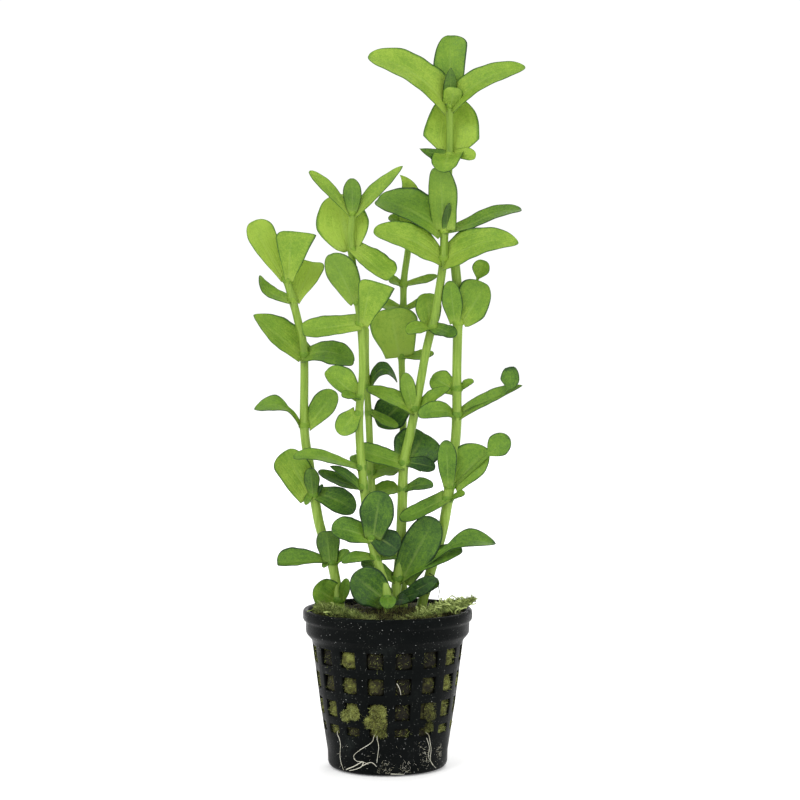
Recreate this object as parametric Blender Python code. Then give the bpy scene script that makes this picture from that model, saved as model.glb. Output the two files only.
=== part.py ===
# A bunch of bacopa monnieri for the aquarium in its net pot, standing on its base.
# The origin is the middle of the pot's base, +Z is up and the photograph looks along +Y.

import math

import bpy
import numpy as np

MM = 0.001

# Net pot, in millimetres: radius and height of each ring, outside and inside, from the base up.
COLUMNS = 16
HOLE_DEGREES = 13
FIRST_COLUMN_DEGREES = -9.4
BASE_RADIUS = 16.5
WALL = 1.1
FLOOR = 1.5
LIP_RADIUS = 25.5
POT_HEIGHT = 47.4
HOLE_ROWS = [(11.7, 14.3), (16.75, 21.65), (24.45, 29.35), (32.15, 37.05)]
SLOT_RADII = (6, 13.5)

# Growing medium and the moss that swells through some holes: column, row, how far it stands out.
GAP = 0.3
MEDIUM_TOP = 46.3
HOLE_MOSS = [(-1, 1, 0.9), (-1, 2, 0.3), (0, 1, 1.2), (-2, 1, 0.2),
             (2, 1, 0.3), (3, 3, 0.2), (3, 2, 0.2), (4, 2, 0.4)]

# Leaves and the collars that they grow from.
LEAF_THICKNESS = 0.5
COLLAR_WALL = 1.0
COLLAR_HEIGHT = 1.8
STEM_SIDES = 6

# Ways that a leaf's upper side faces.
UP, TILT, BACK, VIEW = (0, 0, 1), (0, -0.8, 1), (0, 1, 0.3), (0, -1, 0.3)


# Bends of a leaf: sideways, and of its tip, in millimetres. Shares that its two halves differ by in
# width and in where they are widest. How straight its lower edges are, and how slowly they widen.
BENDS = {"sway": 0, "hook": 0, "lean": 0, "slide": 0, "straight": 0.3, "swell": 1.2}


def leaf(reach, width, face=UP, arch=1.0, widest=0.5, base=0.5, tip=0.5, cup=0.1, stalk=0.0, **bends):
    """One leaf: its tip from the stem's centre, its width, its bend, and the shape of its blade as shares."""
    names = ("reach", "width", "face", "arch", "widest", "base", "tip", "cup", "stalk")
    return BENDS | bends | dict(zip(names, (reach, width, face, arch, widest, base, tip, cup, stalk)))


# Each stem: its radius at the top and at the bottom, and the points that it runs through, top first.
STEMS = {
    "left_stem": ((1.15, 1.6), [(-30.4, 2, 147), (-27, 2, 134.4), (-25.1, 3, 124), (-25.1, 3.4, 102),
                                (-23.6, 3.4, 90.6), (-21.6, 3, 78), (-20, 2.2, 70.6),
                                (-16.8, 1, 61.6), (-13.8, 0, 45), (-12, 0, 38)]),
    "centre_left_stem": ((0.95, 1.45), [(-10.3, -5, 166.5), (-10.7, -5, 155), (-8, -6, 133), (-7.4, -6.5, 119),
                                        (-8.4, -6.5, 106), (-7.7, -6, 91), (-5, -6, 69.6), (-0.6, -6, 54),
                                        (0.3, -6, 45), (0.6, -6, 38)]),
    "back_left_stem": ((0.95, 1.25), [(-6.5, 3, 132), (-6.4, 3.5, 119), (-5.6, 4, 102), (-4.8, 4, 84),
                                     (-3.6, 5, 66), (-2.5, 6, 45), (-2.2, 6, 38)]),
    "thin_stem": ((0.95, 1.2), [(7.2, 8, 163), (6, 8.5, 154), (4.9, 9, 145.8), (4.7, 9, 136), (4.2, 9, 124), (4.7, 9, 107),
                                (4.5, 9, 92), (4.4, 9.5, 70), (5, 10, 45), (5.2, 10, 38)]),
    "tall_stem": ((1.05, 1.6), [(18.5, 0, 199), (18.5, 0, 183), (17, 0, 161), (16.7, 0, 152), (14.4, 0, 137),
                               (11.6, 0, 125), (9.6, 0.5, 114), (7, 1, 101), (4.9, 1, 91), (4.4, 0.5, 78),
                               (3.6, 0, 62), (1.5, 0, 45), (1, 0, 38)]),
    "right_stem": ((1.4, 1.55), [(20.2, 4, 151.5), (21.1, 3, 139.8), (20.8, 2, 119), (20.6, 1, 101), (18.6, 0, 84),
                                (16.6, 0, 71.4), (13, 1.5, 58.5), (9.5, 2, 45), (8, 2, 38)]),
}

# Each node of a stem: the stem, its height, and the leaves that grow there.
LEAVES = {
    "tall_stem_leaves_1": ("tall_stem", 198, [
        leaf((-24.2, -3, 14.3), 13.4, (0, -1, 1.1), 3.4, 0.42, 0.85, lean=0.14, slide=-0.14),
        leaf((22.4, -3, 11), 9.6, (0, -1, 1), 3.1, 0.4, 0.85, 0.6, lean=-0.15, slide=0.14),
        leaf((0.3, 5, 21.2), 10, (0, -1, 0.2), 0.6, 0.7, 0.6, 0.48, slide=0.14),
        leaf((0.4, -1.6, 11), 4.2, UP, 0.3, 0.4, 0.7, 0.8),
        leaf((1.3, -3.4, 5), 6, BACK, -0.4, 0.6, 0.85, 0.3)]),
    "tall_stem_leaves_2": ("tall_stem", 183, [
        leaf((1.5, 6, 17.6), 16.8, VIEW, 1, 0.28, 0.25, straight=0.9),
        leaf((-1.8, -9, -5.4), 9.2, UP, 0.8, 0.3, 0.98, 0.4),
        leaf((-9, -3, 2), 5, (0, -1, 0.6), -0.6, 0.2, 0.9, 1.1, lean=-0.3),
        leaf((7.7, -2, -0.5), 4.6, (0, -1, 0.7), 0.9, 0.6, 0.7, 0.4)]),
    "tall_stem_leaves_3": ("tall_stem", 160.8, [
        leaf((-20.2, 5, 9.2), 12.4, (0, -0.8, 0.8), 2.2, 0.5, 0.8, 0.36, lean=0.22, slide=-0.12),
        leaf((23.2, 3, 6.3), 6.8, (0, -0.7, 1), 0.8, 0.6, 0.55, hook=-0.7),
        leaf((-1.6, -5, 18.5), 9, UP, 0.8, 0.5, 0.82, 0.3),
        leaf((1.4, -4, 8), 2.8, UP, 0.3, 0.4, 0.8, 0.6)]),
    "tall_stem_leaves_4": ("tall_stem", 152.4, [
        leaf((-20.9, -5.6, 8.1), 11.6, (0.2, -1.2, 1), 2.6, 0.36, 0.5),
        leaf((22.1, -6.4, 4.5), 12.6, (0, -1.2, 1), 3.4, 0.22, 0.75, 0.66, hook=-0.5)]),
    "tall_stem_leaves_5": ("tall_stem", 131.8, [
        leaf((-1.4, 4, 10.2), 8, VIEW, 0.8, 0.55, 0.4, swell=0.8),
        leaf((7.2, -4, -2.4), 6.6, TILT, 0.2, 0.45, 0.7, lean=0.2, slide=-0.1),
        leaf((-7.6, -4, -1.6), 6, TILT, 0.8)]),
    "tall_stem_leaves_6": ("tall_stem", 107.4, [
        leaf((-14.6, -3, 6.1), 6.9, TILT, 0.8, 0.42, 0.85, lean=0.04, slide=-0.1),
        leaf((10.4, -2, 6.4), 5, TILT, 0.8, 0.42, 0.8, 0.6, lean=-0.1),
        leaf((-3.2, -4, 11), 4.8, BACK, 0.6, 0.5, 0.6)]),
    "tall_stem_leaves_7": ("tall_stem", 91.2, [
        leaf((-14.4, -4, 4), 7.2, (0, -0.9, 0.8), 0.2, 0.55, 0.8, 0.35, lean=0.05),
        leaf((6.3, 5, 8.4), 15, VIEW, 0.8, 0.45, 0.6, 0.42, lean=0.04),
        leaf((9.4, -1, -1.6), 5.4, (0, -0.8, 0.6), 0.4)]),
    "tall_stem_leaves_8": ("tall_stem", 83.4, [
        leaf((9.2, -2.4, 1), 5.4, TILT, 1)]),
    "tall_stem_leaves_9": ("tall_stem", 56.4, [
        leaf((11.2, -3, 18.6), 11.2, (0, -1, 0.3), 0.6, 0.55, 0.6, 0.4),
        leaf((-11, -2, 5), 6.4, TILT, 0.4),
        leaf((29.4, -5, 11), 7.6, (0, -0.8, 1), 4.8, 0.5, 0.35, 0.8, stalk=0.58, hook=-1.6, lean=-0.2),
        leaf((19.4, -4, 9.3), 6.6, (0, -0.9, 1), 1.6, 0.7, 0.5, 0.35)]),
    "tall_stem_leaves_10": ("tall_stem", 50, [
        leaf((7.6, -9, 3.4), 4.4, VIEW, 0.4, 0.5, 0.5, 0.8),
        leaf((4.4, -8, 0.6), 3.8, VIEW, 0.6, 0.5, 0.5, 0.8),
        leaf((12.6, -5, 7), 5, VIEW, 0.4, 0.6, 0.4)]),
    "centre_left_leaves_1": ("centre_left_stem", 166, [
        leaf((-12.8, -2, 12.1), 5, TILT, 0.4),
        leaf((-0.1, -4, 9.9), 5.6, UP, 0.6, 0.5, 0.5, 0.55),
        leaf((14.9, -2, 13.6), 5.8, TILT, 0.3, 0.35, 0.75, 0.7)]),
    "centre_left_leaves_2": ("centre_left_stem", 154.8, [
        leaf((-4.2, 6.8, 16.6), 15.6, VIEW, 0.8, 0.4, 0.25, swell=0.6, lean=-0.06),
        leaf((11.2, -5, -8.8), 9.8, (0.2, -0.8, 1), 0.2, 0.55, 0.6, 0.42, lean=-0.25, slide=-0.14)]),
    "centre_left_leaves_3": ("centre_left_stem", 133, [
        leaf((3.2, -6, 13), 11, (0, -1, 0.3), 0.2, 0.92, 0.25, 0.25, straight=0.8, lean=0.4, slide=0.05),
        leaf((-17.3, -2, -2), 7.6, (0, -1, 0.8), 0, 0.6, 0.85, 0.22)]),
    "centre_left_leaves_11": ("centre_left_stem", 139.4, [
        leaf((-8, -5, 14.2), 9.6, (0.2, 1, 0.2), 0.8, 0.55, 0.35, swell=0.7, lean=-0.06)]),
    "centre_left_leaves_4": ("centre_left_stem", 111.3, [
        leaf((-10.2, 2, 7.8), 7.4, (0, -1, 0.4), 0.4, 0.5, 0.45, 0.4, lean=0.3),
        leaf((-5.4, -4, 0.4), 4.4, TILT, 0.4)]),
    "centre_left_leaves_5": ("centre_left_stem", 106.4, [
        leaf((-5.8, -3, -6), 7, (0, -1, 0.3), 0.4)]),
    "centre_left_leaves_6": ("centre_left_stem", 90.3, [
        leaf((-20.2, -4, 3.2), 5.7, (0, -0.7, 1), 1.9, 0.68, 0.45, hook=-0.4, slide=0.08),
        leaf((-2.6, 4, 3.4), 4, TILT, 0.3)]),
    "centre_left_leaves_7": ("centre_left_stem", 84.6, [
        leaf((-13.6, 1, 4.6), 5.2, (0, -0.8, 1), -0.7, 0.4, 0.6),
        leaf((-10, -4, 6.4), 4.2, TILT, 0.8, 0.5, 0.8, 0.9)]),
    "centre_left_leaves_8": ("centre_left_stem", 69.8, [
        leaf((-11.6, -2, 2.8), 8.6, (0, -0.9, 0.6), 0.8, swell=0.8),
        leaf((3, -4, 13.9), 10.4, VIEW, 0.6, 0.55, 0.5, 0.45),
        leaf((8.2, -1, -4.2), 8.6, (0, -1, 0.4), 0.8)]),
    "centre_left_leaves_9": ("centre_left_stem", 63.4, [
        leaf((-10.2, -2, -1.2), 4.6, TILT, 1, 0.5, 0.6),
        leaf((6, 2.4, 0), 4.6, TILT, 0.6)]),
    "centre_left_leaves_10": ("centre_left_stem", 51.4, [
        leaf((-10.2, -4, 7.4), 11.8, (0, -1, 0.3), 0.4, 0.5, 0.6),
        leaf((0.4, -6, -2.6), 5.4, (0, -0.6, 1), 0.8)]),
    "back_left_leaves_1": ("back_left_stem", 114, [
        leaf((9, 1, 1.4), 6.4, TILT, 5.8, 0.5, 0.6)]),
    "back_left_leaves_2": ("back_left_stem", 106, [
        leaf((9, -1, -4.2), 4.4, TILT, -0.4)]),
    "back_left_leaves_3": ("back_left_stem", 88, [
        leaf((8.2, 0.8, 1.4), 8, TILT, 0.6, 0.6, 0.8, 0.4),
        leaf((-5, 6, 3), 5, TILT)]),
    "back_left_leaves_4": ("back_left_stem", 81.6, [
        leaf((7.8, 0.8, 1.6), 6.6, TILT, 0.6, 0.6, 0.8, 0.4)]),
    "left_leaves_1": ("left_stem", 146, [
        leaf((-10.5, -1.6, 17.4), 9.4, (0.3, -1, 0.4), -0.2, 0.74, 0.2, 0.42, lean=0.14),
        leaf((1.5, -4, 14.6), 12, (0, -1, 0.3), 0.2, 0.9, 0.2, 0.25, straight=0.9, lean=0.25, slide=0.06)]),
    "left_leaves_2": ("left_stem", 140, [
        leaf((5.8, 6.4, 11.5), 9, (0, -1, 0.4), 0.2, 0.8, 0.4, 0.2, slide=0.04, straight=0.6, sway=0.4, lean=-0.1),
        leaf((-9.9, -1, 7.4), 5, TILT, -2.7, 0.45, 0.8, 0.6, hook=0.4)]),
    "left_leaves_3": ("left_stem", 123.6, [
        leaf((-15.1, -2, 12), 11.2, (0, -0.8, 1), 0, 0.36, 0.7, 0.8, lean=0.19),
        leaf((15, -2, -2.2), 9.6, (0, -0.95, 0.9), 2.7, 0.5, 0.65, 0.45, lean=0.12)]),
    "left_leaves_4": ("left_stem", 102.4, [
        leaf((-15, -2, 4.9), 7.2, (0, -0.8, 1), 4.8, 0.45, 0.3, 0.8, stalk=0.36),
        leaf((9.5, -1, 10.2), 7.8, (0, -1, 0.4), -0.25, 0.55, 0.4, 0.45, swell=0.9, lean=-0.08)]),
    "left_leaves_5": ("left_stem", 81.6, [
        leaf((-8.6, -4.5, 13.3), 10.4, (0, -1, 0.4), -0.3, 0.6, 0.7, 0.3, slide=-0.16, lean=-0.08, swell=0.8),
        leaf((12.4, -2, -5), 8.4, (0, -1, 0.6), 1.6),
        leaf((-0.8, -5, 8.2), 4.8, BACK, 0.4),
        leaf((-2.5, -2.4, -3.1), 2.2, VIEW, 0.2, 0.4, 0.8),
        leaf((2.8, -2, 3), 1.6, TILT, 0.2, 0.5, 0.8, 0.3)]),
    "left_leaves_6": ("left_stem", 61.4, [
        leaf((-1.5, -4, 9.6), 7.2, BACK, 0.6, 0.6, 0.6, 0.4),
        leaf((-16.4, -2, -0.6), 8.2, (0, -0.7, 1), 0.5, 0.64, 0.28, 0.4, cup=0.3),
        leaf((5.4, -1, 3.2), 4, TILT, 0.6),
        leaf((-2.8, -1.6, -1.6), 1.8, VIEW, 0.2, 0.5, 0.8)]),
    "left_leaves_7": ("left_stem", 50, [
        leaf((-7.4, -4, 4), 9.8, (0, -1, 0.4), 0.2, 0.45, 0.8, swell=0.8),
        leaf((2.5, -3, 6.8), 3.4, VIEW, 0.2)]),
    "thin_stem_leaves_1": ("thin_stem", 161.6, [
        leaf((-3.4, 0, 16.2), 7.6, (0.3, -1, 0), 0.8, 0.4, 0.6, 1.1, sway=2),
        leaf((-6.7, 1, 3.6), 4.8, TILT, 0.4)]),
    "thin_stem_leaves_2": ("thin_stem", 144.8, [
        leaf((-4.6, -1, 1.2), 4.2, TILT, 0.3),
        leaf((10.3, 3, 2.6), 3.6, TILT, -0.3)]),
    "thin_stem_leaves_3": ("thin_stem", 137.4, [
        leaf((-7.4, -2, 1), 5, TILT, 0.4),
        leaf((9.6, 3, 3.6), 3.4, TILT, 0.2)]),
    "thin_stem_leaves_4": ("thin_stem", 123, [
        leaf((-3.4, -5, 14.4), 14.6, BACK, 0.6, 0.66, 0.6, 0.42),
        leaf((9.8, -2, 0.8), 4.6, TILT, -0.4)]),
    "thin_stem_leaves_5": ("thin_stem", 108, [
        leaf((-7.6, -2.6, -6.2), 11, (0, -1, 0.3), 0.4, 0.4, 0.7, 0.7)]),
    "right_leaves_1": ("right_stem", 133.4, [
        leaf((8.6, -2, 11.4), 11.4, VIEW, 0.2, 0.55, 0.3, 0.55, lean=-0.16, slide=-0.18, swell=0.6),
        leaf((-2.6, -3.4, 12.4), 6.2, VIEW, 0.2),
        leaf((7.9, 2, 18.6), 5.4, VIEW, -0.4, 0.5, 0.14, 0.4, stalk=0.7)]),
    "right_leaves_2": ("right_stem", 113.6, [
        leaf((-7.6, 2, 3.2), 7.2, VIEW, 0.4),
        leaf((5.1, -1, 2.2), 3.3, TILT, 0.5)]),
    "right_leaves_3": ("right_stem", 105.6, [
        leaf((-11.7, -7, 0), 6, (0, -1, 0.6), 2.6, 0.55, 0.6, lean=0.1),
        leaf((19.6, -2, 8.9), 5.4, TILT, 0.9, 0.3, 0.75, 0.7, lean=-0.15),
        leaf((15.7, -3, 14.6), 5.8, VIEW, 0.2, 0.5, 0.14, 0.32, stalk=0.74, sway=4.6)]),
    "right_leaves_4": ("right_stem", 84.4, [
        leaf((11.1, -1, 11.4), 11.2, (0, -1, 0.4), 0.2, 0.55, 0.5, 0.6, lean=-0.2),
        leaf((-1.2, -4, 14), 6, VIEW, 0.2, 0.6, 0.5),
        leaf((17.5, -4, 15.1), 7.4, VIEW, 0.2, 0.5, 0.14, stalk=0.62)]),
    "right_leaves_5": ("right_stem", 80.4, [
        leaf((-14.4, -5, -6), 6.2, TILT, -0.3, 0.6, 0.85),
        leaf((5, -4, 1.8), 3.8, TILT, 0.4)]),
    "right_leaves_6": ("right_stem", 53, [
        leaf((4, -3, 1.8), 5.6, TILT, 0.6),
        leaf((-3, 5, 1), 3.4, TILT, 0.4)]),
}

# Moss on the medium: each pad's centre line, and its half width and half height at each point.
MOSS = {
    "moss_left": [(-20.6, -5.4, 47.4, 0.5, 0.4), (-19.4, -8.2, 48, 2, 1.2), (-16.4, -12.4, 47.9, 2.4, 1.2),
                  (-12.3, -16.3, 47.5, 2, 0.8), (-8.2, -19.2, 47.1, 1, 0.4)],
    "moss_right": [(8, -18.4, 47.4, 0.8, 0.5), (12, -15.6, 48.2, 2.6, 1.4), (16.4, -11, 48.7, 3.4, 1.9),
                   (20.2, -6.6, 48.9, 3, 1.7), (23.6, -4.4, 49.6, 2, 1), (26.2, -3.8, 50.2, 1.2, 0.6)],
}

# Roots that hang out of the pot's holes, and a dead tendril beside the right stem.
STRANDS = {
    "root_1": (0.25, [(-14.5, -11.6, 12.6), (-14.8, -13.2, 11.9), (-14, -13.9, 9.5), (-13.9, -13.6, 4.2),
                      (-13, -13.7, 1.1)]),
    "root_2": (0.25, [(-3.6, -18.2, 12.9), (-4, -19.8, 12), (-4.6, -19.7, 10.6), (-8.1, -17.9, 7.9),
                      (-9.8, -16.9, 6.2), (-9.7, -16.8, 4.8)]),
    "root_3": (0.25, [(-2.7, -18.35, 12.7), (-3, -19.9, 11.9), (-2.6, -19.9, 8.9), (-3.1, -19.6, 4.5)]),
    "root_4": (0.22, [(11.2, -14.8, 12.8), (12.2, -15.6, 11.8), (12.8, -14.9, 8), (12.9, -14.4, 3.9),
                      (14.4, -13, 1.5)]),
    "tendril": (0.2, [(12.4, -2.4, 58.4), (14.2, -3, 57.2), (15.4, -3.4, 54), (15.2, -3.6, 50.9)]),
}


def unit(vector):
    vector = np.array(vector, float)
    return vector / np.linalg.norm(vector)


def smooth(points, count):
    """Points on one smooth curve through the given ones."""
    p = np.array(points, float)
    p = np.vstack([2 * p[0] - p[1], p, 2 * p[-1] - p[-2]])
    spans = len(p) - 3
    curve = []
    for place in np.linspace(0, spans, count):
        first = min(int(place), spans - 1)
        t = place - first
        a, b, c, d = p[first:first + 4]
        bend = (2 * a - 5 * b + 4 * c - d) * t**2 + (3 * b - a - 3 * c + d) * t**3
        curve.append((2 * b + (c - a) * t + bend) / 2)
    return np.array(curve)


def new_object(name, points, faces, helper=False):
    """A mesh object from points in millimetres."""
    mesh = bpy.data.meshes.new(name)
    mesh.from_pydata((np.array(points) * MM).tolist(), [], [tuple(face) for face in faces])
    obj = bpy.data.objects.new(name, mesh)
    bpy.context.scene.collection.objects.link(obj)
    if helper:
        obj.hide_render = True
        obj.display_type = "WIRE"
    return obj


def paint(obj, slot, colour, roughness):
    material = bpy.data.materials.get(slot) or bpy.data.materials.new(slot)
    material.use_nodes = True
    shader = material.node_tree.nodes["Principled BSDF"]
    shader.inputs["Base Color"].default_value = (*colour, 1)
    shader.inputs["Roughness"].default_value = roughness
    obj.data.materials.append(material)


def boolean(obj, operation, other, own_parts=False):
    modifier = obj.modifiers.new(operation.lower(), "BOOLEAN")
    modifier.operation = operation
    modifier.solver = "EXACT"
    modifier.use_self = own_parts
    modifier.object = other


def skin(rings):
    """Closed mesh through rings of points of one length, with flat ends."""
    sides = len(rings[0])
    points = [point for ring in rings for point in ring]
    faces = [tuple(reversed(range(sides)))]
    for low in range(0, len(points) - sides, sides):
        for k in range(sides):
            after = (k + 1) % sides
            faces.append((low + k, low + after, low + sides + after, low + sides + k))
    faces.append(tuple(range(len(points) - sides, len(points))))
    return points, faces


def stem_path(name, count):
    """Points and radii along a stem, bottom first."""
    (top, bottom), points = STEMS[name]
    path = smooth(points, count)[::-1]
    radii = np.interp(path[:, 2], [path[0, 2], path[-1, 2]], [bottom, top])
    return path, radii


def stem_at(name, height):
    path, radii = stem_path(name, 200)
    centre = [np.interp(height, path[:, 2], path[:, axis]) for axis in (0, 1)]
    return np.array([*centre, height]), np.interp(height, path[:, 2], radii)


def tube(path, radii, sides):
    """Rings of points around a path that climbs, each one level."""
    angles = [2 * math.pi * k / sides for k in range(sides)]
    return [[centre + radius * np.array([math.cos(a), math.sin(a), 0]) for a in angles]
            for centre, radius in zip(path, radii)]


def make_stem(name):
    """The stem, and the wider and longer copy of it that cuts its way through leaves and medium."""
    path, radii = stem_path(name, 11)
    points, faces = skin(tube(path, radii, STEM_SIDES))
    stem = new_object(name, points, faces)
    paint(stem, "stem", (0.27, 0.42, 0.06), 0.45)
    longer = path.copy()
    longer[0] += unit(path[0] - path[1]) * 0.6
    longer[-1] += unit(path[-1] - path[-2]) * 0.6
    points, faces = skin(tube(longer, radii + GAP / math.cos(math.pi / STEM_SIDES), STEM_SIDES))
    return new_object(name + "_space", points, faces, helper=True)


def half_width(share, spec, across):
    """Share of the leaf's half width at a share of its length, on one side of its midrib."""
    if share < spec["stalk"]:
        return spec["base"]
    share = (share - spec["stalk"]) / (1 - spec["stalk"])
    widest = spec["widest"] + np.sign(across) * spec["slide"]
    if share < widest:
        rise = share / widest
        rounded = math.sin(math.pi / 2 * rise) ** spec["swell"]
        wide = spec["base"] + (1 - spec["base"]) * (rounded + (rise - rounded) * spec["straight"])
    else:
        wide = max(0, 1 - ((share - widest) / (1 - widest)) ** 2) ** spec["tip"]
    return wide * (1 + np.sign(across) * spec["lean"])


def leaf_frame(centre, radius, spec):
    reach = np.array(spec["reach"], float)
    start = centre + unit((reach[0], reach[1], 0)) * (radius + GAP + 0.1)
    end = centre + reach
    along = unit(end - start)
    face = np.array(spec["face"], float)
    normal = unit(face - face.dot(along) * along)
    return start, end, normal, np.cross(along, normal)


def midrib(frame, spec, share):
    """Point of a leaf's midrib at a share of its length."""
    start, end, normal, side = frame
    middle = (start + end) / 2 + normal * spec["arch"] * 2
    bent = (1 - share) ** 2 * start + 2 * share * (1 - share) * middle + share**2 * end
    bent = bent + normal * spec["hook"] * math.sin(2 * math.pi * share)
    return bent + side * spec["sway"] * 6.75 * share**2 * (1 - share)


def leaf_point(frame, spec, share, across, lift=0.0):
    """Point of a leaf at a share of its length and of its half width, lifted off its middle surface."""
    normal, side = frame[2:]
    tangent = unit(midrib(frame, spec, share + 0.01) - midrib(frame, spec, share - 0.01))
    up = unit(normal - normal.dot(tangent) * tangent)
    out = unit(np.cross(tangent, up))
    half = spec["width"] / 2 * half_width(share, spec, across)
    bend = up * (abs(across) ** 1.5 * half * spec["cup"] * 2 + lift)
    return midrib(frame, spec, share) + out * half * across + bend


def leaf_mesh(centre, radius, spec):
    """Lens-shaped leaf from sections of four points and a tip."""
    frame = leaf_frame(centre, radius, spec)
    length = np.linalg.norm(frame[1] - frame[0])
    shares = [0, 0.28, 0.58, 0.88]
    if length < 11 or spec["width"] < 4.5:
        shares = [0, 0.45, 0.85]
    elif length > 18 and spec["width"] > 6:
        shares = [0, 0.22, 0.47, 0.72, 0.92]
    if spec["stalk"]:
        peak = spec["stalk"] + (1 - spec["stalk"]) * spec["widest"]
        shares = [0, spec["stalk"], (spec["stalk"] + peak) / 2, peak, (1 + peak) / 2, 0.96]
    rings = []
    for share in shares:
        lift = LEAF_THICKNESS / 2 * (1 if share < 0.9 else 0.7)
        rings.append([leaf_point(frame, spec, share, -1), leaf_point(frame, spec, share, 0, -lift),
                      leaf_point(frame, spec, share, 1), leaf_point(frame, spec, share, 0, lift)])
    points, faces = skin(rings)
    tip = len(points)
    points.append(frame[1])
    faces.pop()
    faces += [(tip - 4 + k, tip - 4 + (k + 1) % 4, tip) for k in range(4)]
    return points, faces


def facing_out(points, faces):
    """The faces, all turned round if the mesh is inside out."""
    volume = 0
    for face in faces:
        corners = [np.array(points[k]) for k in face]
        for second, third in zip(corners[1:], corners[2:]):
            volume += np.dot(corners[0], np.cross(second, third))
    return faces if volume > 0 else [tuple(reversed(face)) for face in faces]


def make_leaves(name, space):
    """The leaves of one node of a stem, joined by the collar of their bases."""
    stem, height, specs = LEAVES[name]
    centre, radius = stem_at(stem, height)
    low, low_radius = stem_at(stem, height - COLLAR_HEIGHT / 2)
    high, high_radius = stem_at(stem, height + COLLAR_HEIGHT / 2)
    wall = GAP + COLLAR_WALL
    meshes = [skin(tube([low, high], [low_radius + wall, high_radius + wall], STEM_SIDES))]
    meshes += [leaf_mesh(centre, radius, spec) for spec in specs]
    points = []
    faces = []
    for own_points, own_faces in meshes:
        faces += [tuple(k + len(points) for k in face) for face in facing_out(own_points, own_faces)]
        points += list(own_points)
    obj = new_object(name, points, faces)
    boolean(obj, "DIFFERENCE", space, own_parts=True)
    paint(obj, "leaf", (0.15, 0.32, 0.04), 0.4)


def ring_point(degrees, radius, height):
    """Point at an angle from the front, -Y, counted towards +X."""
    angle = math.radians(degrees)
    return np.array([radius * math.sin(angle), -radius * math.cos(angle), height])


def column_angles():
    """The two edges of each column of holes."""
    angles = []
    for column in range(COLUMNS):
        middle = FIRST_COLUMN_DEGREES + column * 360 / COLUMNS
        angles += [middle - HOLE_DEGREES / 2, middle + HOLE_DEGREES / 2]
    return angles


def wall_radius(height):
    """Outer radius of the pot's wall."""
    return np.interp(height, [1.6, 4.8, 9.3, 19.8, 36.3, 38.2], [18, 18.1, 18.8, 20.4, 22.5, 22.8])


def pot_rings():
    """Outer and inner radius and height of each ring, from the middle of the base to the lip's top."""
    rings = [((radius, 0), (radius, FLOOR)) for radius in SLOT_RADII]
    rings += [((BASE_RADIUS, 0), (16.2, FLOOR)), ((17.9, 1), (17, 3))]
    for edges in HOLE_ROWS:
        rings += [((wall_radius(z), z), (wall_radius(z) - WALL, z)) for z in edges]
    rings += [((22.8, 38.2), (21.7, 38.6)), ((24.5, 40.4), (23.2, 40.8)), ((24.6, 44), (23.4, 43.6))]
    rings.append(((LIP_RADIUS, 44.7), (23.5, 44.8)))
    rings.append(((25, POT_HEIGHT), (24.1, POT_HEIGHT)))
    return rings


def make_pot():
    """The pot's two skins, joined round the lip and through each hole."""
    angles = column_angles()
    rings = pot_rings()
    sides = len(angles)
    outer = [ring_point(a, *ring[0]) for ring in rings for a in angles]
    inner = [ring_point(a, *ring[1]) for ring in rings for a in angles]
    points = outer + inner + [(0, 0, 0), (0, 0, FLOOR)]
    shift = len(outer)
    hole_rings = {0} | {len(SLOT_RADII) + 2 + 2 * row for row in range(len(HOLE_ROWS))}
    faces = []
    for level in range(len(rings) - 1):
        for k in range(sides):
            corners = [level * sides + k, level * sides + (k + 1) % sides]
            corners += [corner + sides for corner in reversed(corners)]
            if k % 2 == 0 and level in hole_rings and (level or k % 4 == 0):
                faces += [(a, b, b + shift, a + shift) for a, b in zip(corners, corners[1:] + corners[:1])]
                continue
            faces.append(tuple(corners))
            faces.append(tuple(corner + shift for corner in reversed(corners)))
    last = (len(rings) - 1) * sides
    for k in range(sides):
        after = (k + 1) % sides
        faces.append((last + k, last + after, last + after + shift, last + k + shift))
        faces.append((2 * shift, after, k))
        faces.append((2 * shift + 1, k + shift, after + shift))
    pot = new_object("net_pot", points, faces)
    paint(pot, "black_plastic", (0.012, 0.012, 0.014), 0.35)


def medium_height(radius, degrees):
    """Height of the medium's rough top."""
    waves = math.sin(math.radians(3 * degrees)) + math.sin(math.radians(7 * degrees + radius * 20))
    return MEDIUM_TOP + 0.25 * waves


def make_medium(spaces):
    """The medium inside the pot, with moss in some of the holes and a way for each stem."""
    angles = [FIRST_COLUMN_DEGREES + column * 360 / COLUMNS for column in range(COLUMNS)]
    rings = [[ring_point(a, 15.4, FLOOR + GAP) for a in angles]]
    for radius, height in ((16.4, 4), (20.9, 37.6), (21.2, 38.6), (22.7, 40.8), (22.9, 45)):
        rings.append([ring_point(a, radius, height) for a in angles])
    for radius in (22.2, 16, 9):
        rings.append([ring_point(a, radius, medium_height(radius, a)) for a in angles])
    points, faces = skin(rings)
    for column, row, out in HOLE_MOSS:
        own_points, own_faces = hole_moss(column, row, out)
        faces += [tuple(k + len(points) for k in face) for face in facing_out(own_points, own_faces)]
        points += own_points
    medium = new_object("growing_medium", points, faces)
    for space in spaces:
        boolean(medium, "DIFFERENCE", space, own_parts=space is spaces[0])
    paint(medium, "medium", (0.05, 0.045, 0.015), 0.95)


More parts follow.
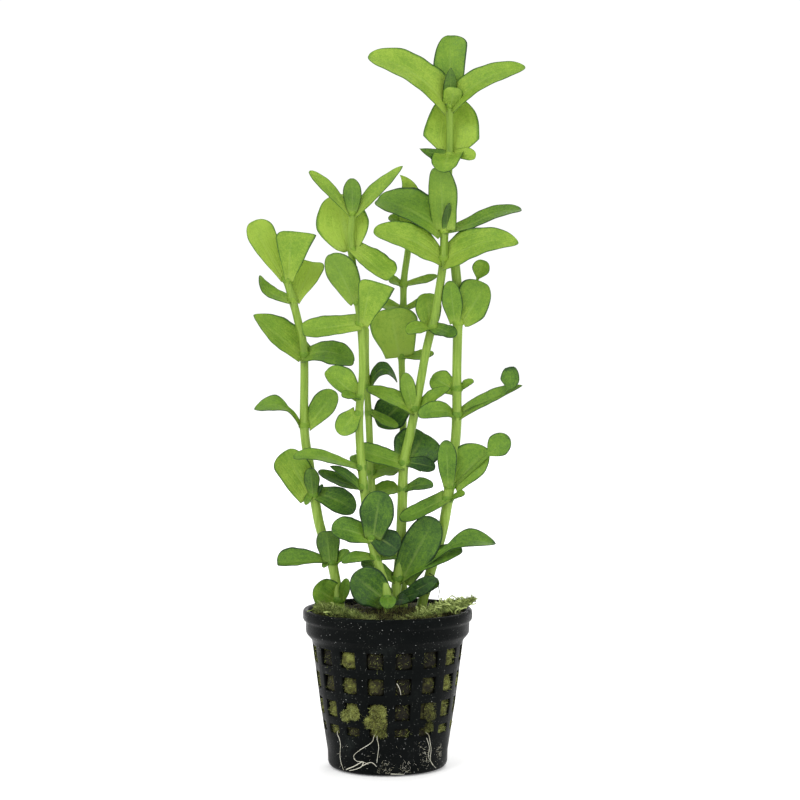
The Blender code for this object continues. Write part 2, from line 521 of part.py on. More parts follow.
def hole_moss(column, row, out):
    """A tapering plug of moss from inside the medium through one hole."""
    low, high = HOLE_ROWS[row]
    middle = FIRST_COLUMN_DEGREES + column * 360 / COLUMNS
    rings = []
    for share, depth in ((1, -WALL - 2), (0.95, 0.1), (0.4, out)):
        half = share * (HOLE_DEGREES / 2 - 1.6)
        tall = share * ((high - low) / 2 - 0.45)
        radius = wall_radius((low + high) / 2) + depth
        corners = ((-1, 0), (-0.6, -1), (0.6, -1), (1, 0), (0.6, 1), (-0.6, 1))
        rings.append([ring_point(middle + half * x, radius, (low + high) / 2 + tall * z) for x, z in corners])
    return skin(rings)


def make_moss(name):
    """A pad of moss with a flattened round section."""
    rows = smooth(MOSS[name], 7)
    path = rows[:, :3]
    rings = []
    for k, (x, y, z, wide, tall) in enumerate(rows):
        run = path[min(k + 1, len(path) - 1)] - path[max(k - 1, 0)]
        across = unit(np.cross(run, (0, 0, 1)))
        turns = [math.pi / 4 * step for step in range(8)]
        rings.append([path[k] + across * wide * math.cos(t) + np.array([0, 0, tall * math.sin(t)]) for t in turns])
    points, faces = skin(rings)
    moss = new_object(name, points, facing_out(points, faces))
    paint(moss, "moss", (0.2, 0.24, 0.03), 0.95)


def make_strand(name):
    """A thin round strand through its points, tapering to the end."""
    radius, route = STRANDS[name]
    path = smooth(route, 6)
    rings = []
    for k, centre in enumerate(path):
        run = unit(path[min(k + 1, len(path) - 1)] - path[max(k - 1, 0)])
        side = unit(np.cross(run, (0.3, 0.9, 0.1)))
        other = np.cross(run, side)
        size = radius * (1 - 0.5 * k / len(path))
        turns = [math.pi / 2 * step for step in range(4)]
        rings.append([centre + size * (side * math.cos(t) + other * math.sin(t)) for t in turns])
    points, faces = skin(rings)
    strand = new_object(name, points, facing_out(points, faces))
    if name == "tendril":
        paint(strand, "dead_tendril", (0.06, 0.05, 0.03), 0.7)
    else:
        paint(strand, "root", (0.62, 0.58, 0.4), 0.7)


for old in list(bpy.data.objects):
    bpy.data.objects.remove(old, do_unlink=True)

stem_spaces = {name: make_stem(name) for name in STEMS}
for group in LEAVES:
    make_leaves(group, stem_spaces[LEAVES[group][0]])
make_pot()
make_medium(list(stem_spaces.values()))
for pad in MOSS:
    make_moss(pad)
for strand_name in STRANDS:
    make_strand(strand_name)
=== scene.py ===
# Looks of a bunch of bacopa monnieri in its net pot. The plant's measures repeat those of the CAD source.
import math
from types import SimpleNamespace

import bpy
import numpy as np
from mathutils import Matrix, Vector


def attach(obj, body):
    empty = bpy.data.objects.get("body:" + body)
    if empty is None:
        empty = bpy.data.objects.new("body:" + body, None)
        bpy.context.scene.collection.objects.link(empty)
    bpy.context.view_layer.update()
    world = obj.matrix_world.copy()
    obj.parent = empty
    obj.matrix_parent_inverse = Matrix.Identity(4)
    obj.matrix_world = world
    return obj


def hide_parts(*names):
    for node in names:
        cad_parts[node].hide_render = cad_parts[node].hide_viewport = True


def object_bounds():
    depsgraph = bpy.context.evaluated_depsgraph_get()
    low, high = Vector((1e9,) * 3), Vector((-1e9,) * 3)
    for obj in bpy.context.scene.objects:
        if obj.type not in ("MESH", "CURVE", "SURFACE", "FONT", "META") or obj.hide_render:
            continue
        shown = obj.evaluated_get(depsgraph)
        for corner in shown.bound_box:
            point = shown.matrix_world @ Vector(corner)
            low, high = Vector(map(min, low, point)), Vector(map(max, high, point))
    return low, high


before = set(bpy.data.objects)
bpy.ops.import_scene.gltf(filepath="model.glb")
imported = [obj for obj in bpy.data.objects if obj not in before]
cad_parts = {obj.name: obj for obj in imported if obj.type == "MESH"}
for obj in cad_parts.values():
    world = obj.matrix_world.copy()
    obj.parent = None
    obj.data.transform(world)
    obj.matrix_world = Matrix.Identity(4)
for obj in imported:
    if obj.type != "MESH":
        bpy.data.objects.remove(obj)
cad_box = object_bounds()

# Lengths below are in millimetres, and MM turns them into the scene's metres.
MM = 0.001
UPWARD = np.array([0.0, 0.0, 1.0])

# Net pot. Its rows of holes are counted from the bottom, and its columns from the front towards +X.
COLUMNS = 16
HOLE_DEGREES = 13
FIRST_COLUMN_DEGREES = -9.4
HOLE_STEPS, BAR_STEPS = 6, 4
BASE_RADIUS = 16.5
WALL = 1.1
FLOOR = 1.5
LIP_RADIUS = 25.5
POT_HEIGHT = 47.4
HOLE_ROWS = [(11.7, 14.3), (16.75, 21.65), (24.45, 29.35), (32.15, 37.05)]
SLOT_RADII = (6, 13.5)

# Height of the growing medium, and the seeds of the random draws for what grows on it and on the pot.
MEDIUM_TOP = 46.3
HOLE_SEED, MEDIUM_SEED, FINE_ROOT_SEED = 5, 9, 21

# How much further the moss swells out of two of the holes, by column and row.
SWELLING = {(-1, 1): 0.35, (0, 1): 0.65}

# Ways that a leaf's upper side faces.
UP, TILT, BACK = (0, 0, 1), (0, -0.8, 1), (0, 1, 0.3)
VIEW, FRONT = (0, -1, 0.3), (0, -1, 0.4)


def leaf(reach, width, face=UP, arch=1.0, widest=0.5, base=0.5, tip=0.5, cup=0.1, stalk=0.0,
         sway=0, hook=0, lean=0, slide=0, straight=0.3, swell=1.2, tint=None):
    """One leaf: its tip from the stem's centre, its width, the way that it faces and its arch.

    Then shares: where it is widest, how wide its base is, how blunt its tip is, its cup and its stalk.
    It bends sideways by sway, and its tip by hook. Its halves differ in width by lean, and in where they
    are widest by slide. Straight and swell say how its lower edges widen. Its painted light and shade runs
    from 0 for a leaf painted in deep shade to 1 for a leaf painted as lit, with light shining through it,
    and a leaf without one takes it from its height, with a little random tone.
    """
    return SimpleNamespace(**locals())


# Each stem: its radius at the top and at the bottom, and the points that it runs through, top first.
STEMS = {
    "left_stem": ((1.15, 1.6), [(-30.4, 2, 147), (-27, 2, 134.4), (-25.1, 3, 124), (-25.1, 3.4, 102),
                                (-23.6, 3.4, 90.6), (-21.6, 3, 78), (-20, 2.2, 70.6),
                                (-16.8, 1, 61.6), (-13.8, 0, 45), (-12, 0, 38)]),
    "centre_left_stem": ((0.95, 1.45), [(-10.3, -5, 166.5), (-10.7, -5, 155), (-8, -6, 133),
                                        (-7.4, -6.5, 119), (-8.4, -6.5, 106), (-7.7, -6, 91), (-5, -6, 69.6),
                                        (-0.6, -6, 54), (0.3, -6, 45), (0.6, -6, 38)]),
    "back_left_stem": ((0.95, 1.25), [(-6.5, 3, 132), (-6.4, 3.5, 119), (-5.6, 4, 102), (-4.8, 4, 84),
                                      (-3.6, 5, 66), (-2.5, 6, 45), (-2.2, 6, 38)]),
    "thin_stem": ((0.95, 1.2), [(7.2, 8, 163), (6, 8.5, 154), (4.9, 9, 145.8), (4.7, 9, 136), (4.2, 9, 124),
                                (4.7, 9, 107), (4.5, 9, 92), (4.4, 9.5, 70), (5, 10, 45), (5.2, 10, 38)]),
    "tall_stem": ((1.05, 1.6), [(18.5, 0, 199), (18.5, 0, 183), (17, 0, 161), (16.7, 0, 152), (14.4, 0, 137),
                                (11.6, 0, 125), (9.6, 0.5, 114), (7, 1, 101), (4.9, 1, 91), (4.4, 0.5, 78),
                                (3.6, 0, 62), (1.5, 0, 45), (1, 0, 38)]),
    "right_stem": ((1.4, 1.55), [(20.2, 4, 151.5), (21.1, 3, 139.8), (20.8, 2, 119), (20.6, 1, 101),
                                 (18.6, 0, 84), (16.6, 0, 71.4), (13, 1.5, 58.5), (9.5, 2, 45), (8, 2, 38)]),
}

# Each node of a stem, named for the stem that it is on: its height, and the leaves that grow there.
# Where a leaf has a level of painted light and shade, low levels paint it in shade and high ones paint it
# lit, with light shining through.
LEAVES = {
    "tall_stem_leaves_1": (198, [
        leaf((-24.2, -3, 14.3), 13.4, (0, -1, 1.1), 3.4, 0.42, 0.85, lean=0.14, slide=-0.14, tint=0.82),
        leaf((22.4, -3, 11), 9.6, (0, -1, 1), 3.1, 0.4, 0.85, 0.6, lean=-0.15, slide=0.14, tint=0.74),
        leaf((0.3, 5, 21.2), 10, (0, -1, 0.2), 0.6, 0.7, 0.6, 0.48, slide=0.14, tint=0.58),
        leaf((0.4, -1.6, 11), 4.2, UP, 0.3, 0.4, 0.7, 0.8, tint=0.3),
        leaf((1.3, -3.4, 5), 6, BACK, -0.4, 0.6, 0.85, 0.3, tint=0.85)]),
    "tall_stem_leaves_2": (183, [
        leaf((1.5, 6, 17.6), 16.8, VIEW, 1, 0.28, 0.25, straight=0.9, tint=0.92),
        leaf((-1.8, -9, -5.4), 9.2, UP, 0.8, 0.3, 0.98, 0.4, tint=0.7),
        leaf((-9, -3, 2), 5, (0, -1, 0.6), -0.6, 0.2, 0.9, 1.1, lean=-0.3, tint=0.35),
        leaf((7.7, -2, -0.5), 4.6, (0, -1, 0.7), 0.9, 0.6, 0.7, 0.4)]),
    "tall_stem_leaves_3": (160.8, [
        leaf((-20.2, 5, 9.2), 12.4, (0, -0.8, 0.8), 2.2, 0.5, 0.8, 0.36, lean=0.22, slide=-0.12, tint=0.55),
        leaf((23.2, 3, 6.3), 6.8, (0, -0.7, 1), 0.8, 0.6, 0.55, hook=-0.7, tint=0.5),
        leaf((-1.6, -5, 18.5), 9, UP, 0.8, 0.5, 0.82, 0.3, tint=0.66),
        leaf((1.4, -4, 8), 2.8, UP, 0.3, 0.4, 0.8, 0.6, tint=0.12)]),
    "tall_stem_leaves_4": (152.4, [
        leaf((-20.9, -5.6, 8.1), 11.6, (0.2, -1.2, 1), 2.6, 0.36, 0.5),
        leaf((22.1, -6.4, 4.5), 12.6, (0, -1.2, 1), 3.4, 0.22, 0.75, 0.66, hook=-0.5)]),
    "tall_stem_leaves_5": (131.8, [
        leaf((-1.4, 4, 10.2), 8, VIEW, 0.8, 0.55, 0.4, swell=0.8),
        leaf((7.2, -4, -2.4), 6.6, TILT, 0.2, 0.45, 0.7, lean=0.2, slide=-0.1, tint=0.3),
        leaf((-7.6, -4, -1.6), 6, TILT, 0.8)]),
    "tall_stem_leaves_6": (107.4, [
        leaf((-14.6, -3, 6.1), 6.9, TILT, 0.8, 0.42, 0.85, lean=0.04, slide=-0.1),
        leaf((10.4, -2, 6.4), 5, TILT, 0.8, 0.42, 0.8, 0.6, lean=-0.1),
        leaf((-3.2, -4, 11), 4.8, BACK, 0.6, 0.5, 0.6)]),
    "tall_stem_leaves_7": (91.2, [
        leaf((-14.4, -4, 4), 7.2, (0, -0.9, 0.8), 0.2, 0.55, 0.8, 0.35, lean=0.05),
        leaf((6.3, 5, 8.4), 15, VIEW, 0.8, 0.45, 0.6, 0.42, lean=0.04, tint=0.3),
        leaf((9.4, -1, -1.6), 5.4, (0, -0.8, 0.6), 0.4, tint=0.08)]),
    "tall_stem_leaves_8": (83.4, [
        leaf((9.2, -2.4, 1), 5.4, TILT, 1, tint=0.25)]),
    "tall_stem_leaves_9": (56.4, [
        leaf((11.2, -3, 18.6), 11.2, VIEW, 0.6, 0.55, 0.6, 0.4, tint=0.34),
        leaf((-11, -2, 5), 6.4, TILT, 0.4),
        leaf((29.4, -5, 11), 7.6, TILT, 4.8, 0.5, 0.35, 0.8, stalk=0.58, hook=-1.6, lean=-0.2),
        leaf((19.4, -4, 9.3), 6.6, (0, -0.9, 1), 1.6, 0.7, 0.5, 0.35)]),
    "tall_stem_leaves_10": (50, [
        leaf((7.6, -9, 3.4), 4.4, VIEW, 0.4, 0.5, 0.5, 0.8, tint=0.1),
        leaf((4.4, -8, 0.6), 3.8, VIEW, 0.6, 0.5, 0.5, 0.8, tint=0.1),
        leaf((12.6, -5, 7), 5, VIEW, 0.4, 0.6, 0.4, tint=0.15)]),
    "centre_left_leaves_1": (166, [
        leaf((-12.8, -2, 12.1), 5, TILT, 0.4),
        leaf((-0.1, -4, 9.9), 5.6, UP, 0.6, 0.5, 0.5, 0.55, tint=0.45),
        leaf((14.9, -2, 13.6), 5.8, TILT, 0.3, 0.35, 0.75, 0.7)]),
    "centre_left_leaves_2": (154.8, [
        leaf((-4.2, 6.8, 16.6), 15.6, VIEW, 0.8, 0.4, 0.25, swell=0.6, lean=-0.06, tint=0.95),
        leaf((11.2, -5, -8.8), 9.8, (0.2, -0.8, 1), 0.2, 0.55, 0.6, 0.42, lean=-0.25, slide=-0.14)]),
    "centre_left_leaves_3": (133, [
        leaf((3.2, -6, 13), 11, VIEW, 0.2, 0.92, 0.25, 0.25, straight=0.8, lean=0.4, slide=0.05,
             tint=0.76),
        leaf((-17.3, -2, -2), 7.6, (0, -1, 0.8), 0, 0.6, 0.85, 0.22)]),
    "centre_left_leaves_11": (139.4, [
        leaf((-8, -5, 14.2), 9.6, (0.2, 1, 0.2), 0.8, 0.55, 0.35, swell=0.7, lean=-0.06)]),
    "centre_left_leaves_4": (111.3, [
        leaf((-10.2, 2, 7.8), 7.4, FRONT, 0.4, 0.5, 0.45, 0.4, lean=0.3),
        leaf((-5.4, -4, 0.4), 4.4, TILT, 0.4)]),
    "centre_left_leaves_5": (106.4, [
        leaf((-5.8, -3, -6), 7, VIEW, 0.4)]),
    "centre_left_leaves_6": (90.3, [
        leaf((-20.2, -4, 3.2), 5.7, (0, -0.7, 1), 1.9, 0.68, 0.45, hook=-0.4, slide=0.08),
        leaf((-2.6, 4, 3.4), 4, TILT, 0.3)]),
    "centre_left_leaves_7": (84.6, [
        leaf((-13.6, 1, 4.6), 5.2, TILT, -0.7, 0.4, 0.6, tint=0.3),
        leaf((-10, -4, 6.4), 4.2, TILT, 0.8, 0.5, 0.8, 0.9, tint=0.3)]),
    "centre_left_leaves_8": (69.8, [
        leaf((-11.6, -2, 2.8), 8.6, (0, -0.9, 0.6), 0.8, swell=0.8, tint=0.4),
        leaf((3, -4, 13.9), 10.4, VIEW, 0.6, 0.55, 0.5, 0.45, tint=0.3),
        leaf((8.2, -1, -4.2), 8.6, FRONT, 0.8, tint=0.1)]),
    "centre_left_leaves_9": (63.4, [
        leaf((-10.2, -2, -1.2), 4.6, TILT, 1, 0.5, 0.6),
        leaf((6, 2.4, 0), 4.6, TILT, 0.6)]),
    "centre_left_leaves_10": (51.4, [
        leaf((-10.2, -4, 7.4), 11.8, VIEW, 0.4, 0.5, 0.6, tint=0.2),
        leaf((0.4, -6, -2.6), 5.4, (0, -0.6, 1), 0.8)]),
    "back_left_leaves_1": (114, [
        leaf((9, 1, 1.4), 6.4, TILT, 5.8, 0.5, 0.6, tint=0.2)]),
    "back_left_leaves_2": (106, [
        leaf((9, -1, -4.2), 4.4, TILT, -0.4)]),
    "back_left_leaves_3": (88, [
        leaf((8.2, 0.8, 1.4), 8, TILT, 0.6, 0.6, 0.8, 0.4, tint=0.7),
        leaf((-5, 6, 3), 5, TILT)]),
    "back_left_leaves_4": (81.6, [
        leaf((7.8, 0.8, 1.6), 6.6, TILT, 0.6, 0.6, 0.8, 0.4, tint=0.65)]),
    "left_leaves_1": (146, [
        leaf((-10.5, -1.6, 17.4), 9.4, (0.3, -1, 0.4), -0.2, 0.74, 0.2, 0.42, lean=0.14, tint=0.98),
        leaf((1.5, -4, 14.6), 12, VIEW, 0.2, 0.9, 0.2, 0.25, straight=0.9, lean=0.25, slide=0.06)]),
    "left_leaves_2": (140, [
        leaf((5.8, 6.4, 11.5), 9, FRONT, 0.2, 0.8, 0.4, 0.2, slide=0.04, straight=0.6, sway=0.4,
             lean=-0.1, tint=1.08),
        leaf((-9.9, -1, 7.4), 5, TILT, -2.7, 0.45, 0.8, 0.6, hook=0.4, tint=0.6)]),
    "left_leaves_3": (123.6, [
        leaf((-15.1, -2, 12), 11.2, TILT, 0, 0.36, 0.7, 0.8, lean=0.19),
        leaf((15, -2, -2.2), 9.6, (0, -0.95, 0.9), 2.7, 0.5, 0.65, 0.45, lean=0.12, tint=0.5)]),
    "left_leaves_4": (102.4, [
        leaf((-15, -2, 4.9), 7.2, TILT, 4.8, 0.45, 0.3, 0.8, stalk=0.36),
        leaf((9.5, -1, 10.2), 7.8, FRONT, -0.25, 0.55, 0.4, 0.45, swell=0.9, lean=-0.08)]),
    "left_leaves_5": (81.6, [
        leaf((-8.6, -4.5, 13.3), 10.4, FRONT, -0.3, 0.6, 0.7, 0.3, slide=-0.16, lean=-0.08,
             swell=0.8, tint=0.78),
        leaf((12.4, -2, -5), 8.4, (0, -1, 0.6), 1.6, tint=0.3),
        leaf((-0.8, -5, 8.2), 4.8, BACK, 0.4, tint=0.3),
        leaf((-2.5, -2.4, -3.1), 2.2, VIEW, 0.2, 0.4, 0.8),
        leaf((2.8, -2, 3), 1.6, TILT, 0.2, 0.5, 0.8, 0.3, tint=0.1)]),
    "left_leaves_6": (61.4, [
        leaf((-1.5, -4, 9.6), 7.2, BACK, 0.6, 0.6, 0.6, 0.4, tint=0.3),
        leaf((-16.4, -2, -0.6), 8.2, (0, -0.7, 1), 0.5, 0.64, 0.28, 0.4, cup=0.3),
        leaf((5.4, -1, 3.2), 4, TILT, 0.6),
        leaf((-2.8, -1.6, -1.6), 1.8, VIEW, 0.2, 0.5, 0.8)]),
    "left_leaves_7": (50, [
        leaf((-7.4, -4, 4), 9.8, FRONT, 0.2, 0.45, 0.8, swell=0.8, tint=0.56),
        leaf((2.5, -3, 6.8), 3.4, VIEW, 0.2)]),
    "thin_stem_leaves_1": (161.6, [
        leaf((-3.4, 0, 16.2), 7.6, (0.3, -1, 0), 0.8, 0.4, 0.6, 1.1, sway=2),
        leaf((-6.7, 1, 3.6), 4.8, TILT, 0.4)]),
    "thin_stem_leaves_2": (144.8, [
        leaf((-4.6, -1, 1.2), 4.2, TILT, 0.3),
        leaf((10.3, 3, 2.6), 3.6, TILT, -0.3)]),
    "thin_stem_leaves_3": (137.4, [
        leaf((-7.4, -2, 1), 5, TILT, 0.4),
        leaf((9.6, 3, 3.6), 3.4, TILT, 0.2)]),
    "thin_stem_leaves_4": (123, [
        leaf((-3.4, -5, 14.4), 14.6, BACK, 0.6, 0.66, 0.6, 0.42, tint=0.92),
        leaf((9.8, -2, 0.8), 4.6, TILT, -0.4)]),
    "thin_stem_leaves_5": (108, [
        leaf((-7.6, -2.6, -6.2), 11, VIEW, 0.4, 0.4, 0.7, 0.7, tint=0.2)]),
    "right_leaves_1": (133.4, [
        leaf((8.6, -2, 11.4), 11.4, VIEW, 0.2, 0.55, 0.3, 0.55, lean=-0.16, slide=-0.18, swell=0.6),
        leaf((-2.6, -3.4, 12.4), 6.2, VIEW, 0.2, tint=0.55),
        leaf((7.9, 2, 18.6), 5.4, VIEW, -0.4, 0.5, 0.14, 0.4, stalk=0.7)]),
    "right_leaves_2": (113.6, [
        leaf((-7.6, 2, 3.2), 7.2, VIEW, 0.4),
        leaf((5.1, -1, 2.2), 3.3, TILT, 0.5)]),
    "right_leaves_3": (105.6, [
        leaf((-11.7, -7, 0), 6, (0, -1, 0.6), 2.6, 0.55, 0.6, lean=0.1),
        leaf((19.6, -2, 8.9), 5.4, TILT, 0.9, 0.3, 0.75, 0.7, lean=-0.15),
        leaf((15.7, -3, 14.6), 5.8, VIEW, 0.2, 0.5, 0.14, 0.32, stalk=0.74, sway=4.6, tint=0.3)]),
    "right_leaves_4": (84.4, [
        leaf((11.1, -1, 11.4), 11.2, FRONT, 0.2, 0.55, 0.5, 0.6, lean=-0.2, tint=0.58),
        leaf((-1.2, -4, 14), 6, VIEW, 0.2, 0.6, 0.5, tint=0.45),
        leaf((17.5, -4, 15.1), 7.4, VIEW, 0.2, 0.5, 0.14, stalk=0.62)]),
    "right_leaves_5": (80.4, [
        leaf((-14.4, -5, -6), 6.2, TILT, -0.3, 0.6, 0.85),
        leaf((5, -4, 1.8), 3.8, TILT, 0.4)]),
    "right_leaves_6": (53, [
        leaf((4, -3, 1.8), 5.6, TILT, 0.6, tint=0.3),
        leaf((-3, 5, 1), 3.4, TILT, 0.4, tint=0.1)]),
}

# Painted light and shade of a leaf without a level of its own, by the height of its node: the lower the node,
# the deeper the painted shade.
TINT_HEIGHTS, TINTS = (40, 70, 100, 140, 200), (0.42, 0.5, 0.58, 0.74, 0.86)
TINT_VARIES = 0.08
COLLAR_DARKER = 0.05

# Moss on the medium: each pad's centre line, and its half width and half height at each point.
MOSS = {
    "moss_left": [(-20.6, -5.4, 47.4, 0.5, 0.4), (-19.4, -8.2, 48, 2, 1.2), (-16.4, -12.4, 47.9, 2.4, 1.2),
                  (-12.3, -16.3, 47.5, 2, 0.8), (-8.2, -19.2, 47.1, 1, 0.4)],
    "moss_right": [(8, -18.4, 47.4, 0.8, 0.5), (12, -15.6, 48.2, 2.6, 1.4), (16.4, -11, 48.7, 3.4, 1.9),
                   (20.2, -6.6, 48.9, 3, 1.7), (23.6, -4.4, 49.6, 2, 1), (26.2, -3.8, 50.2, 1.2, 0.6)],
}

# Each pad's brightness, its number of strings, and the number and length of its fibres.
PAD_LOOK = {"moss_left": (0.64, 24, 2600, 1.9), "moss_right": (0.78, 110, 1500, 1.2)}
PAD_ROWS, PAD_SIDES = 60, 20

# Roots that hang out of the pot's holes, and a dead tendril beside the right stem.
STRANDS = {
    "root_1": (0.25, [(-14.5, -11.6, 12.6), (-14.8, -13.2, 11.9), (-14, -13.9, 9.5), (-13.9, -13.6, 4.2),
                      (-13, -13.7, 1.1)]),
    "root_2": (0.25, [(-3.6, -18.2, 12.9), (-4, -19.8, 12), (-4.6, -19.7, 10.6), (-8.1, -17.9, 7.9),
                      (-9.8, -16.9, 6.2), (-9.7, -16.8, 4.8)]),
    "root_3": (0.25, [(-2.7, -18.35, 12.7), (-3, -19.9, 11.9), (-2.6, -19.9, 8.9), (-3.1, -19.6, 4.5)]),
    "root_4": (0.22, [(11.2, -14.8, 12.8), (12.2, -15.6, 11.8), (12.8, -14.9, 8), (12.9, -14.4, 3.9),
                      (14.4, -13, 1.5)]),
    "tendril": (0.2, [(12.4, -2.4, 58.4), (14.2, -3, 57.2), (15.4, -3.4, 54), (15.2, -3.6, 50.9)]),
}

# A strand's thickness in the picture, as a share of its solid's.
ROOT_THIN, TENDRIL_THIN = 0.4, 0.9
STRAND_ROWS, STRAND_SIDES = 60, 8

# Thin roots that lie on the front of the pot: radius, and their points across and up.
FINE_ROOTS = [
    (0.15, [(-12.2, 1.2), (-9.8, 2.6), (-7.3, 4.2), (-7.5, 2.9), (-9, 1.9), (-11.2, 1.0)]),
    (0.12, [(-7.3, 3), (-5.5, 4), (-4.4, 4.1), (-3.1, 3)]),
    (0.12, [(1, 0.8), (2.8, 0.7), (5, 0.5)]),
    (0.1, [(2.8, 28.2), (3.6, 26.6), (4, 24.8)]),
    (0.09, [(-9.9, 5), (-9, 4.2), (-7.3, 4.2), (-5.6, 3.6)]),
    (0.09, [(11.6, 11), (12.4, 8), (12.2, 5), (13.6, 2.2)]),
]

# Patches of pale fibres on the pot: from and to across, from and to in height, and how many.
DUST_FIBRES = [(-2.4, 0.8, 0.9, 5, 40), (3.4, 7, 0.9, 4.4, 34), (9.6, 12.6, 2.6, 10.2, 50),
               (14.2, 16.2, 3, 7.8, 34), (-15, 15, 1, 9, 40)]

# How lit the moss is in the holes of the pot's front: by column, from the bottom row to the top one.
HOLE_LIGHT = {
    -3: (0.5, 0.8, 0.8, 0.3), -2: (0.8, 0.9, 0.5, 0.25), -1: (0.55, 0.95, 0.8, 0.9),
    0: (0.65, 0.8, 0.6, 0.35), 1: (0.35, 0.15, 0.12, 0.08), 2: (0.45, 0.6, 0.55, 0.2),
    3: (0.9, 0.85, 0.9, 0.9), 4: (0.9, 0.6, 0.9, 0.5),
}

# Lumps of moss that swell out of the holes: x and height, half width, half height, how far out, how lit.
LUMPS = [
    (-12.1, 17.8, 1.4, 1.7, 0.9, 0.95), (-9.5, 18.8, 1.6, 2.0, 0.9, 1.0), (-3.4, 16.4, 3.5, 2.2, 1.1, 0.8),
    (-2.6, 19.6, 2.4, 2.2, 0.9, 0.8), (-2.0, 13.2, 1.8, 1.5, 0.5, 0.7), (12.6, 19.0, 2.2, 2.8, 0.2, 0.6),
    (12.2, 14.4, 1.4, 1.5, 0.3, 0.6),
]

# Colours from dark to lit, each with its place on the way.
GREENS = [(0, (0.015, 0.047, 0.013)), (0.25, (0.05, 0.126, 0.018)), (0.5, (0.125, 0.256, 0.024)),
          (0.75, (0.21, 0.36, 0.034)), (1, (0.34, 0.495, 0.058))]
STEM_COLOURS = [(0, (0.06, 0.125, 0.015)), (0.35, (0.14, 0.25, 0.024)), (0.6, (0.23, 0.365, 0.042)),
                (1, (0.38, 0.53, 0.12))]
PLASTIC_COLOURS = [(0.3, (0.0024, 0.0024, 0.0023)), (0.8, (0.0044, 0.0046, 0.0045)),
                   (1, (0.012, 0.014, 0.013))]
MOSS_COLOURS = [(0, (0.004, 0.0035, 0.002)), (0.25, (0.02, 0.018, 0.007)), (0.5, (0.07, 0.072, 0.016)),
                (0.78, (0.19, 0.21, 0.045)), (1, (0.42, 0.47, 0.15))]
PAD_COLOURS = [(0, (0.004, 0.005, 0.002)), (0.25, (0.022, 0.03, 0.008)), (0.5, (0.08, 0.112, 0.025)),
               (0.78, (0.21, 0.275, 0.06)), (1, (0.45, 0.54, 0.18))]
SOIL_COLOURS = [(0, (0.003, 0.0025, 0.0015)), (0.35, (0.012, 0.009, 0.004)), (0.62, (0.06, 0.055, 0.014)),
                (0.85, (0.15, 0.165, 0.04)), (1, (0.34, 0.4, 0.12))]
ROOT_COLOURS = [(0, (0.12, 0.1, 0.05)), (0.4, (0.42, 0.4, 0.28)), (1, (0.84, 0.83, 0.72))]
DEAD_COLOURS = [(0, (0.004, 0.006, 0.003)), (0.5, (0.02, 0.025, 0.012)), (1, (0.08, 0.08, 0.04))]
FLOOR_COLOURS = [(0, (0.86, 0.86, 0.855)), (1, (0.9, 0.9, 0.895))]


def unit(vector):
    vector = np.array(vector, float)
    return vector / np.linalg.norm(vector)


def units(vectors):
    return vectors / np.maximum(np.linalg.norm(vectors, axis=-1, keepdims=True), 1e-9)


def turns(count):
    """Angles evenly round a full turn."""
    return np.linspace(0, 2 * math.pi, count, endpoint=False)


def smooth(points, count):
    """Points on one smooth curve through the given ones."""
    p = np.array(points, float)
    p = np.vstack([2 * p[0] - p[1], p, 2 * p[-1] - p[-2]])
    spans = len(p) - 3
    curve = []
    for place in np.linspace(0, spans, count):
        first = min(int(place), spans - 1)
        t = place - first
        a, b, c, d = p[first:first + 4]
        bend = (2 * a - 5 * b + 4 * c - d) * t**2 + (3 * b - a - 3 * c + d) * t**3
        curve.append((2 * b + (c - a) * t + bend) / 2)
    return np.array(curve)


WAVES, WAVE_SUM = 7, 3.2


def ripple(points, size, seed):
    """Smooth random field from about -1 to 1 with waves of about one size."""
    local = np.random.default_rng(seed)
    total = 0
    for _ in range(WAVES):
        way = unit(local.normal(size=3)) * 2 * math.pi / (size * local.uniform(0.7, 1.6))
        total += np.sin(points @ way + local.uniform(0, 2 * math.pi))
    return total / WAVE_SUM


# Meshes are kept as (points in millimetres, faces, marks), where marks are values at each point.

def join(parts):
    """One mesh from several, each mark 0 where a part lacks it."""
    names = sorted({name for part in parts for name in part[2]})
    faces, marks, before = [], {name: [] for name in names}, 0
    for own, own_faces, own_marks in parts:
        faces += [tuple(corner + before for corner in face) for face in own_faces]
        before += len(own)
        for name in names:
            marks[name].append(np.broadcast_to(own_marks.get(name, 0.0), len(own)))
    points = np.vstack([part[0] for part in parts])
    return points, faces, {name: np.concatenate(values) for name, values in marks.items()}


def hoops(path, size, side, other, angles, flat=1.0):
    """Rings round the points of a path, each in the plane of two directions."""
    return path[:, None] + size * (np.cos(angles)[None, :, None] * side[:, None]
                                   + flat * np.sin(angles)[None, :, None] * other[:, None])


def tube(rows, sides):
    """Faces of a tube's flat start and of its skin, without its end."""
    faces = [tuple(reversed(range(sides)))]
    for low in range(0, (rows - 1) * sides, sides):
        faces += [(low + k, low + (k + 1) % sides, low + sides + (k + 1) % sides, low + sides + k)
                  for k in range(sides)]
    return faces


def loops(rings, tip=None, marks=None):
    """Closed skin through rings of equal length, with flat ends or a pointed one."""
    rings = np.array(rings, float)
    count, sides = rings.shape[:2]
    points = rings.reshape(-1, 3)
    faces = tube(count, sides)
    last = (count - 1) * sides
    marks = {name: np.array(values, float).reshape(-1) for name, values in (marks or {}).items()}
    if tip is None:
        faces.append(tuple(range(last, last + sides)))
    else:
        faces += [(last + k, last + (k + 1) % sides, len(points)) for k in range(sides)]
        points = np.vstack([points, tip])
        marks = {name: np.append(values, values[last]) for name, values in marks.items()}
    volume = sum(np.dot(points[f[0]], np.cross(points[f[k]], points[f[k + 1]]))
                 for f in faces for k in range(1, len(f) - 1))
    if volume < 0:
        faces = [tuple(reversed(face)) for face in faces]
    return points, faces, marks


def place_object(name, data):
    obj = bpy.data.objects.new(name, data)
    bpy.context.scene.collection.objects.link(obj)
    return obj


